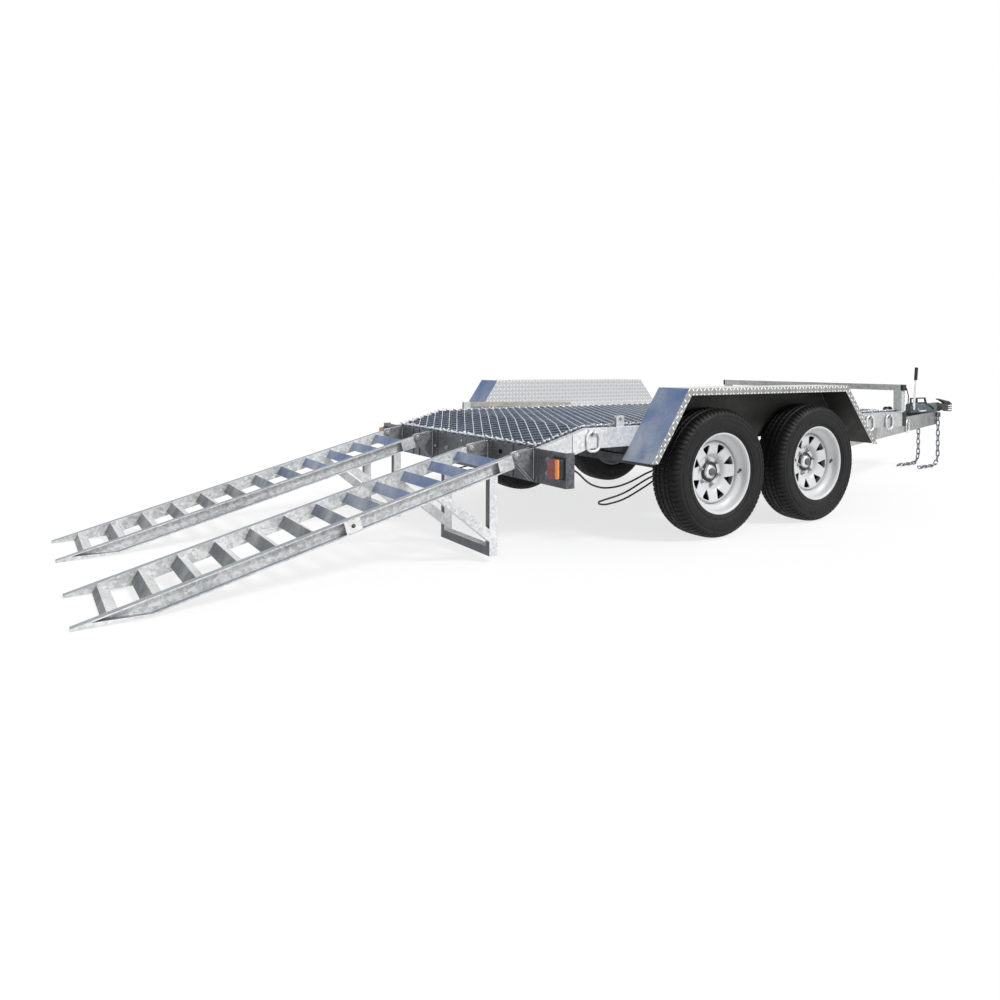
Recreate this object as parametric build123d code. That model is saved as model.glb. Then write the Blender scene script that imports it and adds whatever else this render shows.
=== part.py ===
from build123d import *
import os
from math import asin, atan2, cos, degrees, hypot, pi, radians, sin, sqrt, tan

# Tandem axle plant trailer with two ladder ramps, all sizes in millimetres.
# +X points forward to the coupling, +Y to the trailer's left, +Z up.
# The origin is on the floor, half way between the ramp tips and the coupling's nose.

# Deck and chassis
DECK_LENGTH = 2937          # rear panel's face to the front edge
REAR_OVERHANG = 1357        # middle between the axles back to the rear panel's face
TAIL_RUN = 275              # length of the sloping tail
TAIL_DROP = 80              # how far the tail falls
DECK_TOP = 576              # top of the side rails above the floor
HALF_FRAME = 822            # centre line to the outer face of a side rail
RAIL_DEPTH = 96
RAIL_FLANGE = 45
RAIL_WALL = 5
SPLICE_PLATE_WALL = 3       # doubler on the outer face of a side rail, at the tail
SPLICE_PLATE_LENGTH = 70
SPLICE_PLATE_FORWARD = 182  # rear panel's face to the doubler's rear edge
FLOOR_SHEET = 3
FLOOR_GAP = 1               # floor sheet's edge to the rails, the panel and the front member
MESH_THICK = 7              # expanded metal, laid on the floor sheet
MESH_EDGE = 6               # gap between the mesh and the steel around it
MESH_BEND_GAP = 4           # bend of the tail to the ends of the strands on both sides of it
MESH_LONG = 99              # one diamond of the mesh, across the trailer
MESH_SHORT = 52             # one diamond, along the trailer
MESH_STRAND = 7             # width of a strand
MESH_MIN_STRAND = 20        # shorter strand ends at the corners are left out
BEARER_DEPTH = 60
BEARER_WIDTH = 40
BEARER_COUNT = 6
BEARER_START = 130          # bend of the tail to the first bearer
FRONT_MEMBER_WALL = 5
FRONT_MEMBER_FLANGE = 45

# Rear panel
HALF_PANEL = 1034
PANEL_HEIGHT = 156
PANEL_WALL = 5
PANEL_FLANGE_DEPTH = 45     # flange that turns forward along the bottom and the ends
STIFFENER_WIDTH = 22
STIFFENER_DEPTH = 4
STIFFENER_Y = (-800, -578, -370, 248, 491, 577, 700)
CABLE_HOLE_RADIUS = 12
CABLE_HOLE_LENGTH = 20      # straight part of the oblong hole in the panel
CABLE_HOLE_Y = -463
CABLE_HOLE_Z = 452
VENT_HOLE_RADIUS = 8
VENT_HOLE_Y = -44
VENT_HOLE_Z = 470

# Rear lamps
LAMP_SIDE_INSET = 7         # rear panel's end in to a lamp's outer edge
LAMP_WIDTH = 86
LAMP_RED_WIDTH = 36         # inboard part of the lens, the rest is amber
LAMP_HEIGHT = 87
LAMP_Z = 426                # middle of the lamps
LAMP_DEPTH = 32
LAMP_BACK_DEPTH = 5
LAMP_BACK_EDGE = 5          # backing plate beyond the lens

# Ramps
RAMP_REACH = 1754           # hinge pin to tip, along the slope
RAMP_CLEAR_WIDTH = 413      # between the webs of a ramp's two rails
RAMP_INSET = 40.5           # side rail's outer face in to the ramp's outer face
RAMP_RAIL_DEPTH = 60
RAMP_RAIL_FLANGE = 36
RAMP_RAIL_WALL = 5
RAMP_TIP_THICK = 8
RAMP_TAPER = 230            # length of the tapered underside at the tip
RAMP_FLOOR_GAP = 1          # tip above the floor when the ramp is down
RUNG_TIP_CLEAR = 60         # last rung's ridge to the ramp's tip, at least
RUNG_PITCH = 142.7
FIRST_RUNG = 75             # hinge pin to the first rung's ridge
RUNG_LEG = 50
RUNG_WALL = 5
RUNG_HALF_ANGLE = 45        # each leg of a rung from square to the ramp
RUNG_BELOW_RAIL = 6         # ridge of a rung below the top of the rails
HINGE_BACK_REACH = 90       # hinge pin behind the rear panel's face
HINGE_Z = 462
RAIL_ABOVE_PIN = 14         # top of a ramp rail above the pin's axis
PIN_RADIUS = 9
PIN_CLEARANCE = 0.05        # radial running clearance of a ramp eye on its pin
PIN_HEAD_RADIUS = 14
PIN_HEAD_LENGTH = 6
EYE_PLATE_WALL = 8
EYE_RADIUS = 22
EYE_PLATE_LENGTH = 90       # hinge eye plate lapped on the web of the rail
END_PLATE_LENGTH = 105      # plate that boxes the rail's outer side, measured from the pin
LUG_WALL = 8
LUG_NOSE_RADIUS = 20        # lug around its pin
LUG_TOE_DROP = 16           # lug's lower corner below and behind the pin
LUG_GAP = 6                 # side clearance between an eye plate and its lugs

# Ramp stand
STAND_BACK = 124            # hinge pin back to the middle of the posts
STAND_POST = 40
STAND_FOOT_Z = 30
STAND_BRACE_LOW = 95        # brace's lower corner on the post
STAND_BRACE_DEPTH = 55      # height of the brace where it meets the post
STAND_BRACE_BACK = 205      # post's rear face back to the brace's upper end
STAND_BRACE_WIDTH = 45      # length of the brace's upper end along the rail

# Ramp stay
STAY_FORWARD = 565          # stay pivot ahead of the ramp's hinge pin
STAY_PIVOT_ABOVE = 38       # stay pivot above the side rail
STAY_DEPTH = 32
STAY_WALL = 8
STAY_CATCH = 788            # hinge pin to the catch hole on the ramp
STAY_EYE_RADIUS = 8
STAY_INSET = 17             # side rail's outer face in to the middle of the stay
STAY_REST_GAP = 1           # stowed stay's far end above the side rail
RAMP_LEAN = 4.5             # a stowed ramp leans forward of upright by this many degrees
CATCH_LENGTH = 66
CATCH_WALL = 5
CATCH_HOLE_RADIUS = 9
STAY_BRACKET_WALL = 5
STAY_BRACKET_GAP = 0.8      # side clearance between a stay and its bracket
STAY_BRACKET_LENGTH = 50

# Lashing rings
RING_WIDTH = 84
RING_HEIGHT = 104
RING_BAR_RADIUS = 6
RING_CORNER_RADIUS = 26      # middle line of the bar
RING_OFF_WALL = 1           # bar of a ring off the face behind it
RING_DROP = 10              # top of the steel behind down to the top of a ring
RING_X = (-1058, 1165, 1378)  # places along the side rails, from the middle between the axles
DRAWBAR_RING_X = 2300       # the ring on each drawbar member
RING_HOOK_LENGTH = 18
RING_HOOK_WALL = 5
RING_HOOK_LIP = 9           # upturned lip of the hook beside the ring's bar

# Wheels
AXLE_SPACING = 768
TYRE_RAIL_GAP = 10          # side rail's outer face to a tyre's inner side
TYRE_RADIUS = 332
TYRE_WIDTH = 204
TYRE_SECTION = ((64, 0), (32, 2), (12, 9), (0, 28))  # columns: below the tread, inside the full width
TYRE_SIDES = 32
RIM_RADIUS = 208            # over the rim's flanges
RIM_HALF_WIDTH = 88
RIM_WALL = 6
RIM_LIP = 14
RIM_FLANGE_WIDTH = 24       # flange and bead seat, from the rim's edge to the slope of the well
RIM_WELL_RADIUS = 160
RIM_WELL_HALF_WIDTH = 29
RIM_DISC_WALL = 6
DISC_FLAT_RADIUS = 86       # flat middle of the wheel disc
DISC_BORE_RADIUS = 38
WHEEL_WINDOWS = 8
WINDOW_INNER_RADIUS = 96
WINDOW_OUTER_RADIUS = 138
WINDOW_HALF_WIDTH = 25
DISC_INSET = 8              # outer face of the wheel's mounting disc, inboard of the middle plane
DISH_OUT = 30               # wheel disc's crown, outboard of the middle plane
HUB_OUT = 22                # hub's end ring, outboard of the middle plane
CAP_RADIUS = 33
CAP_OUT = 38
CAP_EDGE = 6                # bevel of the dust cap
DRUM_RADIUS = 125
DRUM_WIDTH = 62
DRUM_WALL = 12
STUB_RADIUS = 20
STUB_CLEARANCE = 0.05
STUB_END_GAP = 4            # end of the stub axle to the inside of the dust cap
BACKPLATE_WALL = 6
BACKPLATE_GAP = 5

# Suspension
AXLE_TUBE = 50
SPRING_INSET = 30           # side rail's outer face in to the middle of a leaf spring
SPRING_WIDTH = 50
SPRING_SPAN = 660           # eye to eye
SPRING_CAMBER = 55
LEAF_THICK = 7
LEAF_SHARES = (0.45, 0.66, 0.85, 1.0)  # half length of each leaf from the axle up, as a share
SPRING_EYE_RADIUS = 14
SPRING_SEAT = 8             # pad between the axle tube and the spring
SPRING_PLATE_LENGTH = 92
U_BOLT_RADIUS = 6
HANGER_WALL = 6
HANGER_LENGTH = 60
ROCKER_TOP_LENGTH = 60

# Wheel guards
GUARD_OVERLAP = 9           # guard's outer face beyond a tyre's outer side
GUARD_TOP = 768
GUARD_FOOT_Z = 414
GUARD_TOP_REAR = -639       # x of the four corners, from the middle between the axles
GUARD_TOP_FRONT = 624
GUARD_FOOT_REAR = -876
GUARD_FOOT_FRONT = 920
GUARD_WALL = 4
GUARD_LIP = 34

# Front rail
FRONT_RAIL_TOP = 758
FRONT_RAIL_SECTION = 40
FRONT_RAIL_INSET = 15       # side rail's outer face in to the end of the front rail
FRONT_POST_WIDTH = 60
FRONT_POST_INSET = 37       # side rail's outer face in to the middle of a post
FRONT_CAP_LENGTH = 18
MARKER_LENGTH = 37          # black plate at the front end of each side rail
MARKER_THICK = 4

# Drawbar
NOSE_REACH = 2040           # front edge of the deck to the coupling's nose
DRAWBAR_DEPTH = 106
DRAWBAR_FLANGE = 45
DRAWBAR_WALL = 6
DRAWBAR_INSET = 10          # side rail's outer face in to a drawbar member's rear end
DRAWBAR_HALF_NOSE = 62      # outer face of a drawbar member at its front end
DRAWBAR_UNDER_DECK = 600    # length of a member behind the front edge of the deck
DRAWBAR_NOSE_BACK = 320     # coupling's nose back to the members' front ends
NOSE_PLATE_WALL = 8

# Coupling
HOUSING_LENGTH = 345
HOUSING_HALF_WIDTH = 45
HOUSING_HEIGHT = 76
HOUSING_BEVEL = 12
SHAFT_RADIUS = 30
HEAD_LENGTH = 290
HEAD_HALF_WIDTH = 38
HEAD_HEIGHT = 82
HEAD_BEVEL = 12
HEAD_NECK_HALF_WIDTH = 24
HEAD_NECK_HEIGHT = 60
SOCKET_RADIUS = 25.5
SOCKET_DEPTH = 44
GAITER_LENGTH = 100
GAITER_RIDGES = 5
GAITER_WALL = 4
GAITER_RIDGE_RADIUS = 41
HANDLE_LENGTH = 165
HANDLE_RISE = 34            # rear end of the coupling handle above the head
HANDLE_WALL = 10
HANDLE_HALF_WIDTH = 16
GUARD_LOOP_LENGTH = 251     # black loop on top of the housing
GUARD_LOOP_HEIGHT = 52
GUARD_LOOP_WALL = 11
GUARD_LOOP_THICK = 12
GUARD_LOOP_FOOT = 22        # slope of the loop's front upright

# Handbrake
BRAKE_PIVOT_BACK = 665      # coupling's nose back to the lever's pivot
BRAKE_PIVOT_ABOVE = 40      # pivot above the top of the drawbar
BRAKE_LEVER_WIDTH = 28
BRAKE_LEVER_WALL = 9
BRAKE_GRIP_LOW = 763        # heights of the grip's two ends
BRAKE_GRIP_HIGH = 871
BRAKE_GRIP_RADIUS = 14
BRAKE_LEVER_LEAN = 6        # the lever leans forward by this many degrees
BRAKE_CHEEK_WALL = 9        # plate behind the housing that carries the lever's pivot
BRAKE_CHEEK_REACH = 35      # plate's rear end behind the pivot

# Safety chains
CHAIN_PITCH = 44            # inside length of a link
CHAIN_WIRE = 10
CHAIN_LINK_WIDTH = 36
CHAIN_LINK_BEVEL = 9
CHAIN_BITE = 0.6            # two links run into each other where one bears on the other
CHAIN_LUG_BACK = 352        # coupling's nose back to a chain's lug
CHAIN_LUG_WALL = 8
CHAIN_LUG_WIDTH = 40        # how far a lug stands out from the drawbar member
CHAIN_LUG_HEIGHT = 40
CHAIN_HOLE_RADIUS = 8
CHAIN_HOLE_DOWN = 20        # top of the drawbar down to the middle of a lug's hole
CHAIN_SEAT_GAP = 0.3        # first link's wire above where it would bear on its hole
CHAIN_HANG_LINKS = 8
CHAIN_TURN = (-18, -48, -80)  # direction of each link through the bend on to the floor, from straight down
CHAIN_ROLL = (15, 30, 45)   # how far each of them is rolled about its own length
CHAIN_FLOOR_SPREAD = (6, -7, 3, 9, -5)  # each floor link's swing to the side

# Cables
CABLE_RADIUS = 4.5
# Corners of the left side's cables: x from the middle between the axles, y, z
LAMP_CABLE = ((-1352, 960, 425), (-1302, 960, 425), (-1210, 915, 390), (-1100, 850, 318), (-950, 775, 272),
              (-800, 745, 272), (-600, 737, 336), (-460, 735, 344), (-409, 735, 344))
BRAKE_CABLE = ((-409, 718, 322), (-460, 718, 322), (-600, 722, 300), (-800, 740, 228), (-930, 750, 212),
               (-985, 750, 202), (-930, 748, 186), (-800, 738, 196), (-600, 716, 262), (-460, 698, 322),
               (-409, 698, 322))

# Positions worked out from the sizes above
slope_arm = RAIL_ABOVE_PIN - RAMP_TIP_THICK
ramp_drop = HINGE_Z - RAMP_FLOOR_GAP
ramp_angle = asin(ramp_drop / hypot(RAMP_REACH, slope_arm)) + atan2(slope_arm, RAMP_REACH)
ramp_tip_back = RAMP_REACH * cos(ramp_angle) + RAIL_ABOVE_PIN * sin(ramp_angle)
rear_reach = REAR_OVERHANG + HINGE_BACK_REACH + ramp_tip_back
front_reach = DECK_LENGTH - REAR_OVERHANG + NOSE_REACH
axles_x = (rear_reach - front_reach) / 2
panel_x = axles_x - REAR_OVERHANG
front_x = panel_x + DECK_LENGTH
bend_x = panel_x + TAIL_RUN
nose_x = front_x + NOSE_REACH
hinge_x = panel_x - HINGE_BACK_REACH
panel_top = DECK_TOP - TAIL_DROP
panel_bottom = panel_top - PANEL_HEIGHT
rail_bottom = DECK_TOP - RAIL_DEPTH
drawbar_top = rail_bottom
drawbar_bottom = drawbar_top - DRAWBAR_DEPTH
drawbar_rear_x = front_x - DRAWBAR_UNDER_DECK
drawbar_front_x = nose_x - DRAWBAR_NOSE_BACK
drawbar_rear_y = HALF_FRAME - DRAWBAR_INSET
drawbar_slope = (drawbar_rear_y - DRAWBAR_HALF_NOSE) / (drawbar_front_x - drawbar_rear_x)
wheel_z = TYRE_RADIUS
wheel_y = HALF_FRAME + TYRE_RAIL_GAP + TYRE_WIDTH / 2
guard_y = wheel_y + TYRE_WIDTH / 2 + GUARD_OVERLAP
spring_y = HALF_FRAME - SPRING_INSET
pack_low = wheel_z + AXLE_TUBE / 2 + SPRING_SEAT
main_low = pack_low + (len(LEAF_SHARES) - 1) * LEAF_THICK
spring_radius = ((SPRING_SPAN / 2) ** 2 + SPRING_CAMBER ** 2) / (2 * SPRING_CAMBER)
spring_centre = main_low + LEAF_THICK / 2 + spring_radius
spring_eye_z = main_low + LEAF_THICK / 2 + SPRING_CAMBER
stay_x = hinge_x + STAY_FORWARD
stay_y = HALF_FRAME - STAY_INSET
stay_z = DECK_TOP + STAY_PIVOT_ABOVE
ramp_y = HALF_FRAME - RAMP_INSET - RAMP_RAIL_FLANGE - RAMP_CLEAR_WIDTH / 2
rung_count = 1 + int((RAMP_REACH - RUNG_TIP_CLEAR - FIRST_RUNG) / RUNG_PITCH)
axle_places = (("front", axles_x + AXLE_SPACING / 2), ("rear", axles_x - AXLE_SPACING / 2))
sides = (("right", -1), ("left", 1))
catch_above = RAIL_ABOVE_PIN - RAMP_RAIL_DEPTH / 2
lean = radians(RAMP_LEAN)
raised_catch_x = hinge_x + STAY_CATCH * sin(lean) + catch_above * cos(lean)
raised_catch_z = HINGE_Z + STAY_CATCH * cos(lean) - catch_above * sin(lean)
stay_length = hypot(stay_x - raised_catch_x, raised_catch_z - stay_z)
stay_tilt = degrees(asin((STAY_PIVOT_ABOVE - STAY_DEPTH / 2 - STAY_REST_GAP) / stay_length))
lamp_out = HALF_PANEL - LAMP_SIDE_INSET
lamp_inner = lamp_out - LAMP_WIDTH
lamp_split = lamp_inner + LAMP_RED_WIDTH
half_floor = HALF_FRAME - RAIL_FLANGE - FLOOR_GAP
head_rear = nose_x - HEAD_LENGTH
head_mid_z = drawbar_top + HOUSING_HEIGHT / 2
head_low = head_mid_z - HEAD_HEIGHT / 2
head_high = head_mid_z + HEAD_HEIGHT / 2
housing_top = drawbar_top + HOUSING_HEIGHT
ball_x = nose_x - HEAD_HALF_WIDTH
brake_x = nose_x - BRAKE_PIVOT_BACK
brake_z = drawbar_top + BRAKE_PIVOT_ABOVE
brake_y = -HOUSING_HALF_WIDTH
brake_lean = radians(BRAKE_LEVER_LEAN)
grip_start = (BRAKE_GRIP_LOW - brake_z) / cos(brake_lean)
grip_end = (BRAKE_GRIP_HIGH - brake_z) / cos(brake_lean)
chain_x = nose_x - CHAIN_LUG_BACK
chain_y = drawbar_rear_y - (chain_x - drawbar_rear_x) * drawbar_slope + CHAIN_LUG_WIDTH / 2
chain_hole_z = drawbar_top - CHAIN_HOLE_DOWN

# End of sizes

os.makedirs("parts", exist_ok=True)


def block(x0, x1, y0, y1, z0, z1):
    """A box between two corners."""
    return Pos((x0 + x1) / 2, (y0 + y1) / 2, (z0 + z1) / 2) * Box(
        abs(x1 - x0), abs(y1 - y0), abs(z1 - z0))


def side_prism(outline, y0, y1):
    """A solid with an outline of (x, z) points, between two planes across the trailer."""
    face = make_face(Polyline([(x, min(y0, y1), z) for x, z in outline], close=True))
    return extrude(face, amount=abs(y1 - y0), dir=(0, 1, 0))


def plan_prism(outline, z0, z1):
    """A solid with an outline of (x, y) points, between two heights."""
    face = make_face(Polyline([(x, y, z0) for x, y in outline], close=True))
    return extrude(face, amount=z1 - z0, dir=(0, 0, 1))


def cross_rod(x, z, radius, y0, y1):
    """A round bar that lies across the trailer."""
    return Pos(x, (y0 + y1) / 2, z) * Rot(90, 0, 0) * Cylinder(radius, abs(y1 - y0))


def turned(profile):
    """A solid of revolution about the Y axis, from (radius, y) points."""
    face = make_face(Polyline([(r, y, 0) for r, y in profile], close=True))
    return revolve(face, Axis.Y, 360)


def turned_flat(profile, count):
    """Like a solid of revolution about the Y axis, but with flat facets and a corner at the bottom."""
    step = 2 * pi / count
    rings = [[(r * sin(k * step), y, -r * cos(k * step)) for k in range(count)] for r, y in profile]
    faces = []
    for near, far in zip(rings, rings[1:] + rings[:1]):
        for k in range(count):
            m = (k + 1) % count
            faces.append(Face(Wire.make_polygon([near[k], near[m], far[m], far[k]], close=True)))
    return Solid(Shell(faces))


def both(solid):
    """A solid and its mirror image on the other side of the trailer."""
    return [solid, mirror(solid, about=Plane.XZ)]


def on_side(solid, side):
    """A solid drawn on the left side, mirrored when it belongs on the right."""
    return solid if side > 0 else mirror(solid, about=Plane.XZ)


def save(node, pieces):
    """Write one sub-part, made of one or more separate solids."""
    pieces = pieces if isinstance(pieces, list) else [pieces]
    solids = [solid for piece in pieces for solid in piece.solids()]
    shape = solids[0] if len(solids) == 1 else Compound(children=solids)
    export_step(shape, os.path.join("parts", node + ".step"))


def deck_line(offset):
    """The deck's side view, from the panel over the bend to the front edge."""
    return [(panel_x, panel_top + offset), (bend_x, DECK_TOP + offset), (front_x, DECK_TOP + offset)]


def floor_sheet():
    """The floor sheet, which follows the deck between the side rails."""
    rear = PANEL_WALL + FLOOR_GAP
    front = FRONT_MEMBER_WALL + FLOOR_GAP
    lower, upper = deck_line(-FLOOR_SHEET), deck_line(0)
    for line in (lower, upper):
        line[0] = (line[0][0] + rear, line[0][1] + rear * TAIL_DROP / TAIL_RUN)
        line[2] = (line[2][0] - front, line[2][1])
    return side_prism(lower + upper[::-1], -half_floor, half_floor)


def clipped(outline, axis, limit, sign):
    """A convex outline cut off at a line, keeping what lies on one side of it."""
    kept = []
    for a, b in zip(outline, outline[1:] + outline[:1]):
        da, db = sign * (limit - a[axis]), sign * (limit - b[axis])
        if da >= 0:
            kept.append(a)
        if da * db < 0:
            t = da / (da - db)
            kept.append((a[0] + t * (b[0] - a[0]), a[1] + t * (b[1] - a[1])))
    return kept


def strands(x0, x1, half, lean_way):
    """Parallel strands of a flat expanded metal plate, which all lean to one side."""
    rise = MESH_LONG / MESH_SHORT
    length = hypot(MESH_SHORT, MESH_LONG)
    dx, dy = -lean_way * MESH_LONG / length * MESH_STRAND / 2, MESH_SHORT / length * MESH_STRAND / 2
    near, far = x0 - MESH_LONG, x1 + MESH_LONG
    count = int((half + rise * max(abs(near), abs(far))) / MESH_LONG) + 1
    bars = []
    for k in range(-count, count):
        y0, y1 = [lean_way * rise * x + (k + 0.5) * MESH_LONG for x in (near, far)]
        bar = [(near + dx, y0 + dy), (far + dx, y1 + dy), (far - dx, y1 - dy), (near - dx, y0 - dy)]
        for axis, limit, sign in ((0, x1, 1), (0, x0, -1), (1, half, 1), (1, -half, -1)):
            bar = clipped(bar, axis, limit, sign)
        if len(bar) > 2 and max(y for x, y in bar) - min(y for x, y in bar) > MESH_MIN_STRAND:
            bars.append(plan_prism(bar, 0, MESH_THICK / 2))
    return bars


def deck_mesh(lean_way, lift):
    """One family of strands of the expanded metal, on the level deck and on the tail."""
    half = half_floor - MESH_EDGE
    slope = atan2(TAIL_DROP, TAIL_RUN)
    level_end = front_x - FRONT_RAIL_SECTION - MESH_EDGE - bend_x
    tail_end = hypot(TAIL_RUN, TAIL_DROP) - MESH_EDGE - PANEL_WALL
    tail = Plane(origin=(bend_x, 0, DECK_TOP), x_dir=(cos(slope), 0, sin(slope)),
                 z_dir=(-sin(slope), 0, cos(slope)))
    level_bars = strands(MESH_BEND_GAP, level_end, half, lean_way)
    tail_bars = strands(-tail_end, -MESH_BEND_GAP, half, lean_way)
    bars = [Pos(bend_x, 0, DECK_TOP + lift) * bar for bar in level_bars]
    return bars + [tail * Pos(0, 0, lift) * bar for bar in tail_bars]


def side_rail():
    """A channel open towards the middle, bent down at the tail, with a doubler outside."""
    outline = deck_line(0) + deck_line(-RAIL_DEPTH)[::-1]
    body = side_prism(outline, HALF_FRAME - RAIL_FLANGE, HALF_FRAME)
    inner = deck_line(-RAIL_WALL) + deck_line(RAIL_WALL - RAIL_DEPTH)[::-1]
    body -= side_prism(inner, HALF_FRAME - RAIL_FLANGE - RAIL_WALL, HALF_FRAME - RAIL_WALL)
    x0 = panel_x + SPLICE_PLATE_FORWARD
    x1 = x0 + SPLICE_PLATE_LENGTH
    rise = TAIL_DROP / TAIL_RUN
    z0, z1 = panel_top + (x0 - panel_x) * rise, panel_top + (x1 - panel_x) * rise
    body += side_prism([(x0, z0), (x1, z1), (x1, z1 - RAIL_DEPTH), (x0, z0 - RAIL_DEPTH)],
                       HALF_FRAME, HALF_FRAME + SPLICE_PLATE_WALL)
    return body - block(panel_x - PANEL_WALL, panel_x + PANEL_WALL, 0, guard_y, 0, DECK_TOP)


def bearers():
    """Cross bearers under the floor sheet, between the side rails."""
    half, shelf = HALF_FRAME - RAIL_WALL, DECK_TOP - RAIL_WALL
    step = (front_x - bend_x) / BEARER_COUNT
    pieces = []
    for k in range(BEARER_COUNT):
        x = bend_x + BEARER_START + k * step
        bearer = block(x, x + BEARER_WIDTH, -half, half, shelf - BEARER_DEPTH, shelf)
        bearer += block(x, x + BEARER_WIDTH, -half_floor, half_floor, shelf, DECK_TOP - FLOOR_SHEET)
        pieces.append(bearer)
    return pieces


def front_member():
    """Channel across the front edge of the deck, open to the rear, under the floor sheet."""
    half = HALF_FRAME - RAIL_FLANGE
    rear, web = front_x - FRONT_MEMBER_FLANGE, front_x - FRONT_MEMBER_WALL
    top = DECK_TOP - FLOOR_SHEET
    member = block(web, front_x, -half, half, rail_bottom, DECK_TOP)
    member += block(rear, web, -half, half, top - FRONT_MEMBER_WALL, top)
    return member + block(rear, web, -half, half, rail_bottom, rail_bottom + FRONT_MEMBER_WALL)


def rear_panel():
    """The wide panel across the tail, with flanges turned forward, ribs behind and two holes."""
    front = panel_x + PANEL_WALL
    turn = panel_x + PANEL_FLANGE_DEPTH
    panel = block(panel_x, front, -HALF_PANEL, HALF_PANEL, panel_bottom, panel_top)
    panel += block(panel_x, turn, -HALF_PANEL, HALF_PANEL, panel_bottom, panel_bottom + PANEL_WALL)
    for side in (-1, 1):
        edge = side * HALF_PANEL
        panel += block(panel_x, turn, edge - side * PANEL_WALL, edge, panel_bottom, panel_top)
    for y in STIFFENER_Y:
        half = STIFFENER_WIDTH / 2
        panel += block(panel_x - STIFFENER_DEPTH, panel_x, y - half, y + half, panel_bottom, panel_top)
    rod = Rot(0, 90, 0) * Cylinder(CABLE_HOLE_RADIUS, 2 * PANEL_FLANGE_DEPTH)
    for step in (-1, 1):
        panel -= Pos(panel_x, CABLE_HOLE_Y + step * CABLE_HOLE_LENGTH / 2, CABLE_HOLE_Z) * rod
    panel -= block(panel_x - PANEL_WALL, front, CABLE_HOLE_Y - CABLE_HOLE_LENGTH / 2,
                   CABLE_HOLE_Y + CABLE_HOLE_LENGTH / 2, CABLE_HOLE_Z - CABLE_HOLE_RADIUS,
                   CABLE_HOLE_Z + CABLE_HOLE_RADIUS)
    return panel - Pos(panel_x, VENT_HOLE_Y, VENT_HOLE_Z) * Rot(0, 90, 0) * Cylinder(
        VENT_HOLE_RADIUS, 4 * PANEL_WALL)


def lamp_piece(y0, y1, edge, depth, start):
    """One layer of a rear lamp, on the rear side of the panel."""
    half = LAMP_HEIGHT / 2 + edge
    return block(panel_x - start - depth, panel_x - start, y0, y1, LAMP_Z - half, LAMP_Z + half)


def guard_outline(inset):
    """The guard's trapezoid in side view, moved inwards by a wall thickness."""
    rise = GUARD_TOP - GUARD_FOOT_Z
    rear_run = GUARD_TOP_REAR - GUARD_FOOT_REAR
    front_run = GUARD_FOOT_FRONT - GUARD_TOP_FRONT
    rear_shift = inset * hypot(rear_run, rise) / rise
    front_shift = inset * hypot(front_run, rise) / rise
    return [(axles_x + GUARD_FOOT_REAR + rear_shift, GUARD_FOOT_Z),
            (axles_x + GUARD_TOP_REAR + rear_shift - inset * rear_run / rise, GUARD_TOP - inset),
            (axles_x + GUARD_TOP_FRONT - front_shift + inset * front_run / rise, GUARD_TOP - inset),
            (axles_x + GUARD_FOOT_FRONT - front_shift, GUARD_FOOT_Z)]


def guard():
    """A guard over both wheels of one side: band, inner wall and outer lip."""
    outer, inner, lip = guard_outline(0), guard_outline(GUARD_WALL), guard_outline(GUARD_LIP)
    band = side_prism(outer + inner[::-1], HALF_FRAME, guard_y)
    edge = side_prism(outer + lip[::-1], guard_y - GUARD_WALL, guard_y)
    wall = side_prism(outer, HALF_FRAME, HALF_FRAME + GUARD_WALL)
    wall -= block(outer[0][0], outer[3][0], HALF_FRAME - GUARD_WALL, HALF_FRAME + 2 * GUARD_WALL,
                  GUARD_FOOT_Z - GUARD_WALL, rail_bottom)
    return band + edge + wall


def slope_point(along, above):
    """A point of a lowered ramp, along its slope from the pin and square above it."""
    return (hinge_x - along * cos(ramp_angle) - above * sin(ramp_angle),
            HINGE_Z - along * sin(ramp_angle) + above * cos(ramp_angle))


def rail_profile(y0, y1):
    """The side view of a ramp rail, thin at the tip, between two planes across the trailer."""
    top, bottom = RAIL_ABOVE_PIN, RAIL_ABOVE_PIN - RAMP_RAIL_DEPTH
    start, end = EYE_RADIUS + LUG_GAP, RAMP_REACH - RAMP_TAPER
    outline = [(start, top), (RAMP_REACH, top), (RAMP_REACH, top - RAMP_TIP_THICK), (end, bottom),
               (start, bottom)]
    return side_prism([slope_point(*p) for p in outline], y0, y1)


def ramp_rail(web_y, outward):
    """A channel rail whose flanges point away from the ramp's middle, boxed in at the hinge."""
    edge = web_y + outward * RAMP_RAIL_FLANGE
    wall = web_y + outward * RAMP_RAIL_WALL
    top = RAIL_ABOVE_PIN - RAMP_RAIL_WALL
    bottom = RAIL_ABOVE_PIN - RAMP_RAIL_DEPTH + RAMP_RAIL_WALL
    start, end = EYE_RADIUS + LUG_GAP, RAMP_REACH - RAMP_TAPER
    body = rail_profile(web_y, edge)
    hollow = [(0, top), (RAMP_REACH - RAMP_TAPER / 4, top), (end, bottom), (0, bottom)]
    body -= side_prism([slope_point(*p) for p in hollow], wall, edge + outward * RAMP_RAIL_WALL)
    plate = [(start, top), (END_PLATE_LENGTH, top), (END_PLATE_LENGTH, bottom), (start, bottom)]
    return body + side_prism([slope_point(*p) for p in plate], edge - outward * RAMP_RAIL_WALL, edge)


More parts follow.
